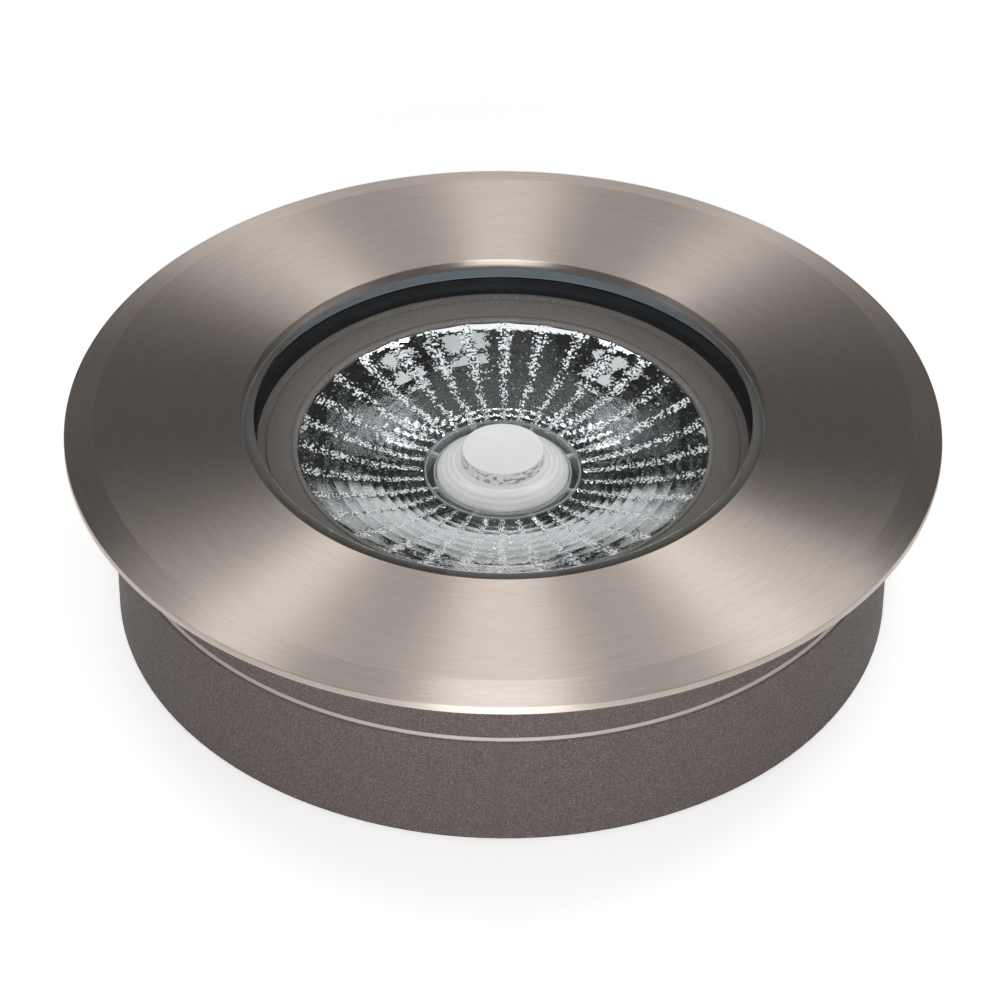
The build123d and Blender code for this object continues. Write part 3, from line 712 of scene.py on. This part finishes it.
def lay_piece(name: str, points: np.ndarray, faces: list, finish: Finish) -> bpy.types.Object:
    """Make a smooth-shaded piece from points and faces.

    Args:
        name: the piece's name.
        points: places in metres, one row each.
        faces: point numbers of each face.
        finish: the finish to dress it in.

    Returns:
        The new object, linked to the scene.
    """
    mesh = bpy.data.meshes.new(name)
    mesh.from_pydata(points.tolist(), [], faces, shade_flat=False)
    mesh.materials.append(finish.material())
    piece = bpy.data.objects.new(name, mesh)
    bpy.context.scene.collection.objects.link(piece)
    return piece


def spun(line: np.ndarray, spin: np.ndarray) -> np.ndarray:
    """Turn (radius, height) pairs about the axis.

    A pair becomes (radius times cosine, radius times sine, height) at each turn angle.

    Args:
        line: the pairs.
        spin: cosine and sine of each turn angle.

    Returns:
        Triples as (pair, angle, axis).
    """
    height = np.broadcast_to(line[:, None, 1:], (len(line), len(spin), 1))
    return np.concatenate([line[:, None, :1] * spin, height], axis=-1)


def turned_piece(name: str, profile: Profile, finish: Finish, around: int = 384) -> bpy.types.Object:
    """Turn a profile about the light's axis.

    A point is (radius times cosine, radius times sine, height) of the turn's angle, and it faces the way
    its profile point does, turned alike. An open profile ends in one point at each pole.

    Args:
        name: the piece's name.
        profile: the outline to turn.
        finish: the finish to dress it in.
        around: steps round the axis.

    Returns:
        The turned piece.
    """
    angle = 2 * math.pi * np.arange(around) / around
    spin = np.stack([np.cos(angle), np.sin(angle)], axis=-1)
    inside = slice(None) if profile.closed else slice(1, -1)
    rows = len(profile.line[inside])
    points = spun(profile.line[inside], spin).reshape(-1, 3)
    normals = spun(profile.facing[inside], spin).reshape(-1, 3)
    faces = grid_quads(rows, around, profile.closed).tolist()
    if not profile.closed:
        low, high = len(points), len(points) + 1
        poles = [[0.0, 0.0, profile.line[0, 1]], [0.0, 0.0, profile.line[-1, 1]]]
        points = np.vstack([points, poles])
        normals = np.vstack([normals, [[0, 0, -1.0], [0, 0, 1.0]]])
        ring = np.arange(around)
        following = (ring + 1) % around
        last = (rows - 1) * around
        faces += np.stack([np.full(around, low), following, ring], axis=-1).tolist()
        faces += np.stack([np.full(around, high), last + ring, last + following], axis=-1).tolist()
    piece = lay_piece(name, points, faces, finish)
    piece.data.normals_split_custom_set_from_vertices(normals.tolist())
    return piece


def mount(piece: bpy.types.Object, slot: Slot, *nodes: str) -> None:
    """Fix a piece to the light and put it in place of nodes.

    Args:
        piece: the new piece.
        slot: the record's slot it takes its finish from; not used.
        nodes: the nodes it stands for.
    """
    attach(piece, "root")
    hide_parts(*nodes)
    log.info("%s stands for %s with %d faces", piece.name, ", ".join(nodes), len(piece.data.polygons))


def mount_turned(
    name: str, profile: Profile, slot: Slot, node: str, finish: Finish | None = None, around: int = 384
) -> None:
    """Turn a profile and mount the piece.

    Args:
        name: the piece's name.
        profile: the outline to turn.
        slot: the record's slot, whose finish it wears unless another is given.
        node: the node it stands for.
        finish: another finish to wear.
        around: steps round the axis.
    """
    mount(turned_piece(name, profile, finish or slot.value, around), slot, node)


def box(inner: float, outer: float, low: float, high: float) -> list[Corner]:
    """Corners of a rectangular section, counter-clockwise."""
    return [(inner, low), (outer, low), (outer, high), (inner, high)]


# --- cover and glass
@dataclass
class CoverRing:
    """Brushed steel ring with a wide chamfer and turned edges, in millimetres."""

    top: float = 45.0
    under: float = 41.6
    radius: float = 90.0
    opening: float = 53.7
    chamfer_width: float = 6.0
    chamfer_drop: float = 1.75
    groove_outer: float = 79.9
    groove_width: float = 1.2
    groove_depth: float = 0.6
    edge: float = 0.16

    def build(self) -> None:
        """Turn the ring's outline, with every edge slightly broken."""
        corners = [
            (self.opening, self.under),
            (self.groove_outer - self.groove_width, self.under),
            (self.groove_outer - self.groove_width, self.under + self.groove_depth),
            (self.groove_outer, self.under + self.groove_depth),
            (self.groove_outer, self.under),
            (self.radius, self.under),
            (self.radius, self.top - self.chamfer_drop),
            (self.radius - self.chamfer_width, self.top),
            (self.opening, self.top),
        ]
        radii = [self.edge] * 6 + [2 * self.edge, 4 * self.edge, 1.6 * self.edge]
        profile = Profile.rounded(corners, radii, steps=7)
        mount_turned("cover_ring", profile, Slot.RING_STEEL, "bezel_ring", around=640)


@dataclass
class Glazing:
    """The walk-over glass with its seam of sealant and its black seal, in millimetres."""

    radius: float = 53.3
    opening: float = 53.7
    under: float = 36.4
    top: float = 44.4
    chamfer_width: float = 2.1
    chamfer_drop: float = 1.6
    lower_chamfer: float = 0.5
    gasket_inner: float = 50.6
    gasket_outer: float = 53.4
    gasket_under: float = 33.8
    skin: float = 0.02
    skin_thickness: float = 0.015
    seam_hollow: float = 0.12
    seal_bulge: float = 0.15

    def build(self) -> None:
        """Make the glass, its ground edge, the seam round it and the seal below it."""
        self.glass()
        self.ground_edge()
        self.seam()
        self.seal()

    def glass(self) -> None:
        """Turn the glass: flat faces, a wide upper and a small lower chamfer."""
        corners = [
            (0.0, self.under),
            (self.radius - self.lower_chamfer, self.under),
            (self.radius, self.under + self.lower_chamfer),
            (self.radius, self.top - self.chamfer_drop),
            (self.radius - self.chamfer_width, self.top),
            (0.0, self.top),
        ]
        profile = Profile.rounded(corners, [0.12, 0.12, 0.25, 0.3], closed=False)
        mount_turned("walk_over_glass", profile, Slot.CLEAR_GLASS, "glass_disc")

    def ground_edge(self) -> None:
        """Turn the matt skin of the ground chamfer and wall, just under the glass's own surface."""
        inner, outer = self.radius - self.chamfer_width + 0.1, self.radius - self.skin
        low, high = self.under + self.lower_chamfer, self.top - 0.08 - self.skin
        turn = self.top - self.chamfer_drop - 0.05
        thick = self.skin_thickness
        corners = [
            (inner, high - thick),
            (outer - thick, turn),
            (outer - thick, low),
            (outer, low),
            (outer, turn),
            (inner + thick, high),
        ]
        profile = Profile.rounded(corners, 0.004, steps=3)
        mount_turned("ground_edge", profile, Slot.CLEAR_GLASS, "glass_disc", GROUND_EDGE)

    def seam(self) -> None:
        """Turn the seam of sealant that wets the glass's edge, with a slightly hollow top."""
        inner, outer = self.radius - self.skin / 2, self.opening - self.skin
        high = self.top - self.chamfer_drop
        corners = box(inner, outer, self.under, high)
        corners.insert(3, ((inner + outer) / 2, high - self.seam_hollow))
        profile = Profile.rounded(corners, 0.03, steps=4)
        mount_turned("glass_seam", profile, Slot.EDGE_SEALANT, "glass_bond_seal")

    def seal(self) -> None:
        """Turn the black seal, barrel-shaped where the glass presses it."""
        low, high = self.gasket_under, self.under - self.skin
        corners = box(self.gasket_inner + self.seal_bulge, self.gasket_outer, low, high)
        corners.append((self.gasket_inner, (low + high) / 2))
        profile = Profile.rounded(corners, [0.2, 0.2, 0.2, 0.2, 1.2], steps=6)
        mount_turned("glass_seal", profile, Slot.BLACK_RUBBER, "glass_gasket")


# --- optics
@dataclass
class GlareRing:
    """The grey ring between the seal and the mirror's rim, in millimetres."""

    outer: float = 57.0
    top: float = 33.8
    ledge: float = 32.3
    band_outer: float = 50.6
    band_inner: float = 49.3
    face: float = 33.48
    groove_inner: float = 48.8
    groove_depth: float = 0.2
    slope_radius: float = 43.95
    slope_top: float = 32.99
    step: float = 0.26
    bead_outer: float = 43.4
    bead_top: float = 32.96
    bead_sunk: float = 0.1
    lip_radius: float = 42.4

    def build(self) -> None:
        """Turn the ring with its outer band, its fine groove and sloping face, and the bead at its lip."""
        corners = [
            (self.lip_radius, self.ledge),
            (self.outer, self.ledge),
            (self.outer, self.top),
            (self.band_outer, self.top),
            (self.band_inner, self.face),
            (self.band_inner, self.face - self.groove_depth),
            (self.groove_inner, self.face - self.groove_depth),
            (self.groove_inner, self.face),
            (self.slope_radius, self.slope_top),
            (self.slope_radius, self.slope_top - self.step),
            (self.lip_radius, self.slope_top - self.step),
        ]
        radii = [0.06, 0.1, 0.1, 0.2, 0.06, 0.06, 0.06, 0.06, 0.06, 0.04, 0.06]
        mount_turned("glare_ring", Profile.rounded(corners, radii), Slot.TRIM_COAT, "trim_ring")
        low = self.slope_top - self.step - self.bead_sunk
        corners = box(self.lip_radius, self.bead_outer, low, self.bead_top)
        bead = Profile.rounded(corners, [0.03, 0.03, 0.12, 0.3])
        mount_turned("lip_bead", bead, Slot.TRIM_COAT, "trim_ring", BEAD_COAT)


@dataclass
class MirrorDish:
    """The mirror: columns of small cushioned facets in rows that shrink inwards, in millimetres."""

    rim_radius: float = 42.2
    foot_radius: float = 16.6
    foot_height: float = 26.0
    rim_height: float = 32.3
    power: float = 1.8
    columns: int = 32
    rows: int = 11
    ratio: float = 0.9
    rim_band: float = 3.0
    wall: float = 1.2
    flange_radius: float = 46.0
    flange_thickness: float = 0.9
    across_steps: int = 8
    along_steps: int = 6
    trough: float = 0.13
    cushion: float = 0.02
    rim_sag: float = 0.065

    def ring_radii(self) -> np.ndarray:
        """Radii of the facets' rows, from the foot to the rim.

        The rows inside the rim band shrink inwards by one ratio, so a row's edge lies at the foot's
        radius plus the span times (ratio to the row's number less ratio to the count of rows), divided
        by one less ratio to the count.

        Returns:
            The radii in millimetres.
        """
        span = self.rim_radius - self.rim_band - self.foot_radius
        row = np.arange(self.rows, -1, -1)
        share = (self.ratio**row - self.ratio**self.rows) / (1 - self.ratio**self.rows)
        return np.append(self.foot_radius + span * share, self.rim_radius)

    def height(self, radius: np.ndarray) -> np.ndarray:
        """Height of the dish at a radius: level at its foot, steeper towards its rim."""
        reach = (radius - self.foot_radius) / (self.rim_radius - self.foot_radius)
        return self.foot_height + (self.rim_height - self.foot_height) * reach**self.power

    def front(self, angle: np.ndarray) -> np.ndarray:
        """The faceted front.

        Each facet is a panel between two rows and two column lines. Across, it is a shallow trough: its
        height falls by one less the square of the place across, in proportion to its radius. Along, it
        swells by four times the place along times one less that place, in proportion to its length. The
        rim's facets are hollow along instead.

        Args:
            angle: turn angles of the grid's columns.

        Returns:
            Points as (row, column, axis), in millimetres, from the foot to the rim.
        """
        edges = self.ring_radii()
        step = np.arange(self.rows * self.along_steps + self.along_steps + 1)
        facet = np.minimum(step // self.along_steps, self.rows)
        along = step / self.along_steps - facet
        apothem = edges[facet] + (edges[facet + 1] - edges[facet]) * along
        levels = self.height(edges)
        height = levels[facet] + (levels[facet + 1] - levels[facet]) * along
        width = 2 * math.pi / self.columns
        off = (angle + width / 2) % width - width / 2
        off = width / 2 - np.abs(off)
        across = np.tan(off) / math.tan(width / 2)
        radius = apothem[:, None] / np.cos(off)[None, :]
        depth = (edges[facet + 1] - edges[facet]) / (edges[-2] - edges[-3])
        trough = self.trough * (apothem / self.rim_radius)[:, None] * (1 - across**2)[None, :]
        swell = np.where(facet < self.rows, self.cushion * depth, -self.rim_sag)
        cushion = (swell * 4 * along * (1 - along))[:, None]
        level = height[:, None] + cushion - trough
        return np.stack([radius * np.cos(angle), radius * np.sin(angle), level], axis=-1)

    def build(self) -> None:
        """Join the faceted front, the flange and the smooth back in one closed surface."""
        around = self.columns * self.across_steps
        angle = 2 * math.pi * np.arange(around) / around
        front = self.front(angle)
        back = self.ring_radii()[::-1][1:]
        under = self.rim_height - self.flange_thickness
        outline = [
            (self.flange_radius, self.rim_height),
            (self.flange_radius, under),
            (self.rim_radius + self.wall, under),
            *zip(back.tolist(), (self.height(back) - self.wall).tolist()),
        ]
        rest = np.asarray(outline)
        spin = np.stack([np.cos(angle), np.sin(angle)], axis=-1)
        grid = np.concatenate([front, spun(rest, spin)])[::-1] * MM
        rows = len(grid)
        faces = grid_quads(rows, around, True)
        dish = lay_piece("mirror_dish", grid.reshape(-1, 3), faces.tolist(), Slot.MIRROR_COAT.value)
        self.crease(dish.data, rows, around, len(front))
        mount(dish, Slot.MIRROR_COAT, "reflector")

    def crease(self, mesh: bpy.types.Mesh, rows: int, around: int, front_rows: int) -> None:
        """Mark the edges between facets, and those of the flange, as sharp.

        Args:
            mesh: the dish's mesh.
            rows: rows of its grid.
            around: columns of its grid.
            front_rows: how many rows belong to the front.
        """
        ends = np.empty(len(mesh.edges) * 2, int)
        mesh.edges.foreach_get("vertices", ends)
        row, column = np.divmod(ends.reshape(-1, 2), around)
        front = rows - 1 - row
        inside = (front < front_rows).all(1)
        row_ends = (front[:, 0] % self.along_steps == 0) | (front[:, 0] >= front_rows)
        row_line = (row[:, 0] == row[:, 1]) & row_ends
        column_line = (column[:, 0] == column[:, 1]) & (column[:, 0] % self.across_steps == 0) & inside
        sharp = mesh.attributes.new("sharp_edge", "BOOLEAN", "EDGE")
        sharp.data.foreach_set("value", row_line | column_line)


@dataclass
class FrostedLens:
    """The frosted saucer that rises to a round button, in millimetres."""

    under: float = 24.6
    rim: float = 26.0
    radius: float = 13.7
    foot_radius: float = 8.9
    foot: float = 28.5
    button_radius: float = 8.5
    button_top: float = 31.4
    button_wall: float = 1.5
    dish: float = 0.35
    edge: float = 0.35
    skin: float = 0.02
    skin_thickness: float = 0.03

    def build(self) -> None:
        """Turn the lens: a domed saucer, the hollow button and its dished top."""
        inner = self.button_radius - self.button_wall
        ceiling = self.button_top - self.button_wall - self.dish
        lip = self.button_radius - self.edge
        dome = [(float(r), self.dome(float(r))) for r in np.linspace(self.radius - 0.4, self.foot_radius, 7)]
        rings = np.linspace(lip * 0.85, 0.0, 8)[:-1]
        top = [(float(r), float(self.button_top - self.dish * (1 - (r / lip) ** 2))) for r in rings]
        corners = [
            (0.0, ceiling),
            (inner, ceiling),
            (inner, self.under),
            (self.radius, self.under),
            (self.radius, self.rim - 0.3),
            *dome,
            (self.button_radius, self.foot),
            (self.button_radius, self.button_top),
            *top,
            (0.0, self.button_top - self.dish),
        ]
        radii = [0.3, 0.2, 0.15, 0.1] + [0.15] * len(dome) + [0.1, self.edge - 0.1] + [0.4] * len(top)
        profile = Profile.rounded(corners, radii, closed=False, steps=5)
        mount_turned("frosted_lens", profile, Slot.FROSTED_PLASTIC, "lens", around=192)
        self.polished_wall()

    def dome(self, radius: float) -> float:
        """Height of the saucer: a quarter sine from its rim up to the button's foot."""
        share = (self.radius - radius) / (self.radius - self.foot_radius)
        return self.rim + (self.foot - self.rim) * math.sin(share * math.pi / 2)

    def polished_wall(self) -> None:
        """Turn the thin polished skin of the button's upright wall."""
        outer = self.button_radius + self.skin
        low, high = self.foot + 0.1, self.button_top - self.edge
        profile = Profile.rounded(box(outer - self.skin_thickness, outer, low, high), 0.01, steps=3)
        mount_turned("lens_wall", profile, Slot.FROSTED_PLASTIC, "lens", POLISHED_WALL, 192)


@dataclass
class LensHolder:
    """The clear holder of the lens: two thin hoops joined by spokes, in millimetres."""

    foot: float = 22.0
    top: float = 26.0
    outer_radius: float = 16.3
    inner_radius: float = 13.9
    wall: float = 0.45
    inner_drop: float = 0.5
    inner_height: float = 1.2
    spokes: int = 8
    spoke_width: float = 0.8
    spoke_height: float = 1.2
    section: int = 12
    soft: float = 0.12

    def build(self) -> None:
        """Turn the hoops and lay the spokes between them."""
        self.hoop("holder_outer_hoop", self.outer_radius - self.wall, self.foot, self.top)
        low = self.top - self.inner_drop - self.inner_height
        self.hoop("holder_inner_hoop", self.inner_radius, low, self.top - self.inner_drop)
        self.lay_spokes()

    def hoop(self, name: str, inner: float, low: float, high: float) -> None:
        """Turn one hoop.

        Args:
            name: the piece's name.
            inner: its inner radius.
            low: its lowest height.
            high: its highest height.
        """
        outer = inner + self.wall
        profile = Profile.rounded(box(inner, outer, low, high), [0.05, 0.05, self.soft, self.soft])
        mount_turned(name, profile, Slot.CLEAR_PLASTIC, "lens_holder", around=192)

    def lay_spokes(self) -> None:
        """Lay the spokes: bars whose section is a rounded square, swept from hoop to hoop.

        A section point is half the width or the height times the square root of the cosine or sine of
        its angle, with that number's sign, so its corners are soft. The bars start a half step off the
        light's right-hand side.
        """
        angle = 2 * math.pi * (np.arange(self.section) + 0.5) / self.section
        cosine, sine = np.cos(angle), np.sin(angle)
        side = np.sign(cosine) * np.abs(cosine) ** 0.5 * self.spoke_width / 2
        rise = np.sign(sine) * np.abs(sine) ** 0.5 * self.spoke_height / 2
        reach = np.array([self.inner_radius + self.wall / 2, self.outer_radius - self.wall / 2])
        bar = np.stack(np.broadcast_arrays(reach[:, None], side[None, :], rise[None, :]), axis=-1)
        bar = bar.reshape(-1, 3)
        turn = 2 * math.pi * (np.arange(self.spokes) + 0.5) / self.spokes
        radial, across = bar[None, :, 0], bar[None, :, 1]
        x = radial * np.cos(turn)[:, None] - across * np.sin(turn)[:, None]
        y = radial * np.sin(turn)[:, None] + across * np.cos(turn)[:, None]
        middle = self.top - self.inner_drop - self.spoke_height / 2
        z = np.broadcast_to(bar[None, :, 2] + middle, x.shape)
        points = np.stack([x, y, z], axis=-1).reshape(-1, 3) * MM
        starts = len(bar) * np.arange(self.spokes)[:, None, None]
        walls = (grid_quads(2, self.section, False) + starts).reshape(-1, 4)
        ends = np.stack([np.arange(self.section)[::-1], np.arange(self.section) + self.section])
        faces = walls.tolist() + (ends + starts).reshape(-1, self.section).tolist()
        spokes = lay_piece("holder_spokes", points, faces, Slot.CLEAR_PLASTIC.value)
        mount(spokes, Slot.CLEAR_PLASTIC, "lens_holder")


# --- pieces kept as cut
@dataclass
class KeptPieces:
    """Castings, fixings, driver and cable inlet, whose cut shapes are right and only need their finish."""

    frame: dict

    def build(self) -> None:
        """Dress every piece that is kept in the finish of its slot."""
        for row in self.frame["record"]["subparts"]:
            node = self.frame["nodes"][row["node"]]
            finish = Slot[row["material_slot"].upper()].value
            for place in node.material_slots:
                place.material = finish.material()
            log.info("%s is dressed in %s", node.name, finish.name)


# --- studio
@dataclass(frozen=True)
class Floor(Finish):
    """Pale floor that keeps the light's shadow and reads white, seen only from above."""

    colour: Colour = (0.93, 0.93, 0.93)
    lift: float = 0.62

    def shade(self, sheet: Sheet) -> Signal:
        """Diffuse paint, lifted towards white for the camera, for gloss and through glass."""
        paint = sheet.add("ShaderNodeBsdfDiffuse", inputs={"Color": (*self.colour, 1.0)})
        names = ("Is Camera Ray", "Is Glossy Ray", "Is Transmission Ray")
        rays = [sheet.add("ShaderNodeLightPath", output=name) for name in names]
        seen = rays[0] + rays[1] + rays[2]
        glow = sheet.add("ShaderNodeEmission", inputs={"Strength": seen.ramp(0.0, 1.0, 0.0, self.lift)})
        lifted = sheet.add("ShaderNodeAddShader", inputs={0: paint, 1: glow})
        behind = sheet.add("ShaderNodeNewGeometry", output="Backfacing")
        clear = sheet.add("ShaderNodeBsdfTransparent")
        return sheet.add("ShaderNodeMixShader", inputs={0: behind, 1: lifted, 2: clear})


@dataclass(frozen=True)
class Lamp:
    """One soft rectangular lamp that aims at a point, in metres and degrees."""

    name: str
    place: Place
    width: float
    depth: float
    level: float
    turn: float = 0.0
    aimed: bool = True

    def hang(self) -> None:
        """Add the lamp to the scene, turned towards the light or straight down."""
        data = bpy.data.lights.new(self.name, "AREA")
        data.shape = "RECTANGLE"
        data.size, data.size_y = self.width, self.depth
        data.energy = 4 * self.width * self.depth * self.level
        lamp = bpy.data.objects.new(self.name, data)
        x, y, z = self.place
        tilt = math.atan2(math.hypot(x, y), z) if self.aimed else 0.0
        heading = math.atan2(x, -y) if self.aimed else 0.0
        lamp.location = self.place
        lamp.rotation_euler = (tilt, 0.0, heading + math.radians(self.turn))
        bpy.context.scene.collection.objects.link(lamp)


def towards(azimuth: float, elevation: float, away: float) -> Place:
    """Place at a compass azimuth from +Y towards +X and an elevation, in degrees.

    Args:
        azimuth: degrees from +Y towards +X.
        elevation: degrees above the floor.
        away: distance in metres.

    Returns:
        The place in metres.
    """
    turn, rise = math.radians(azimuth), math.radians(elevation)
    flat = away * math.cos(rise)
    return (flat * math.sin(turn), flat * math.cos(turn), away * math.sin(rise))


@dataclass
class Studio:
    """Floor, lamps and surroundings."""

    reach: float = 6.0
    height: float = 0.42
    backdrop: float = 1.0
    room: float = 0.025
    screen_top: tuple[float, float] = (0.42, 0.5)
    screen_foot: tuple[float, float] = (0.0, 0.2)
    screen_side: tuple[float, float] = (0.2, 0.32)
    floor_gap: float = 0.0002

    def build(self) -> None:
        """Set up the floor, the lamps and the world."""
        self.floor()
        high = self.height
        for lamp in (
            Lamp("overhead_back", (0.0, 0.0, high), 0.34, 0.18, 0.95, aimed=False),
            Lamp("overhead_front", (0.0, -0.25, high), 0.24, 0.32, 0.6, aimed=False),
            Lamp("wing_left", (-0.197, 0.092, high), 0.11, 0.13, 4.0, -34.0, aimed=False),
            Lamp("wing_right", (0.197, 0.092, high), 0.11, 0.13, 4.2, 34.0, aimed=False),
            Lamp("tip_left", (-0.305, 0.1645, high), 0.15, 0.13, 0.9, -34.0, aimed=False),
            Lamp("tip_right", (0.305, 0.1645, high), 0.15, 0.13, 2.4, 34.0, aimed=False),
            Lamp("front_lamp", (0.0, -1.8, 0.6), 1.0, 0.6, 6.8),
            Lamp("top_window", (0.042, 0.142, high), 0.05, 0.055, 0.5, aimed=False),
            Lamp("left_pane", (-0.105, 0.205, high), 0.04, 0.06, 0.6, aimed=False),
            Lamp("right_pane", (0.105, 0.205, high), 0.04, 0.06, 0.6, aimed=False),
            Lamp("left_window", towards(-8.5, 45.0, 2.0), 0.34, 0.1, 1.0),
            Lamp("right_window", towards(8.5, 45.0, 2.0), 0.34, 0.1, 1.0),
            Lamp("spark_lamp", towards(0.0, 43.5, 2.0), 0.045, 0.035, 9.0),
            Lamp("left_strip", towards(-33.0, 25.0, 2.0), 0.07, 0.7, 0.5),
            Lamp("right_strip", towards(33.0, 25.0, 2.0), 0.07, 0.7, 0.5),
        ):
            lamp.hang()
        self.world()

    def floor(self) -> None:
        """Lay the floor just under the light."""
        side = np.array([-1.0, 1.0]) * self.reach
        x, y = np.meshgrid(side, side)
        points = np.stack([x.ravel(), y.ravel(), np.full(4, -self.floor_gap)], axis=-1)
        lay_piece("studio_floor", points, [[0, 1, 3, 2]], Floor("studio_floor"))

    def world(self) -> None:
        """Surroundings that depend on direction: a pale backdrop behind the light in a dim room."""
        world = bpy.data.worlds.new("studio_room")
        world.use_nodes = True
        bpy.context.scene.world = world
        sheet = Sheet(world.node_tree)
        across, ahead, up = sheet.split(sheet.add("ShaderNodeTexCoord", output="Generated"))
        screen = up.ramp(*self.screen_top, 1.0, 0.0) * ahead.ramp(*self.screen_foot)
        screen = screen * sheet.step("ABSOLUTE", across).ramp(*self.screen_side, 1.0, 0.0)
        strength = screen * (self.backdrop - self.room) + self.room
        room = sheet.add("ShaderNodeBackground", inputs={"Strength": strength})
        sheet.add("ShaderNodeOutputWorld", inputs={"Surface": room})


@dataclass
class ViewCamera:
    """The camera of the photograph: place in millimetres, angles in degrees."""

    place: Place = (0.0, -726.3, 601.7)
    pitch: float = 38.6
    yaw: float = -0.04
    roll: float = 0.56
    lens: float = 160.58
    sensor: float = 36.0

    def build(self) -> None:
        """Set the camera up, level with the photograph's framing."""
        data = bpy.data.cameras.new("view_camera")
        data.lens = self.lens
        data.sensor_width = self.sensor
        camera = bpy.data.objects.new("view_camera", data)
        pitch, yaw, roll = (math.radians(value) for value in (self.pitch, self.yaw, self.roll))
        flat = math.cos(pitch)
        ahead = np.array([math.sin(yaw) * flat, math.cos(yaw) * flat, -math.sin(pitch)])
        level = np.array([math.cos(yaw), -math.sin(yaw), 0.0])
        above = np.cross(level, ahead)
        right = math.cos(roll) * level + math.sin(roll) * above
        up = math.cos(roll) * above - math.sin(roll) * level
        matrix = np.eye(4)
        matrix[:3, 0], matrix[:3, 1], matrix[:3, 2] = right, up, -ahead
        matrix[:3, 3] = np.multiply(self.place, MM)
        camera.matrix_world = Matrix(matrix)
        bpy.context.scene.collection.objects.link(camera)
        bpy.context.scene.camera = camera


def main() -> None:
    """Build the light piece by piece in its studio."""
    logging.basicConfig(level=logging.INFO, format="%(message)s")
    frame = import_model()
    ViewCamera().build()
    Studio().build()
    KeptPieces(frame).build()
    for assembly in (CoverRing(), Glazing(), GlareRing(), MirrorDish(), FrostedLens(), LensHolder()):
        assembly.build()
    bpy.context.scene.view_settings.view_transform = "Standard"


if __name__ == "__main__":
    main()
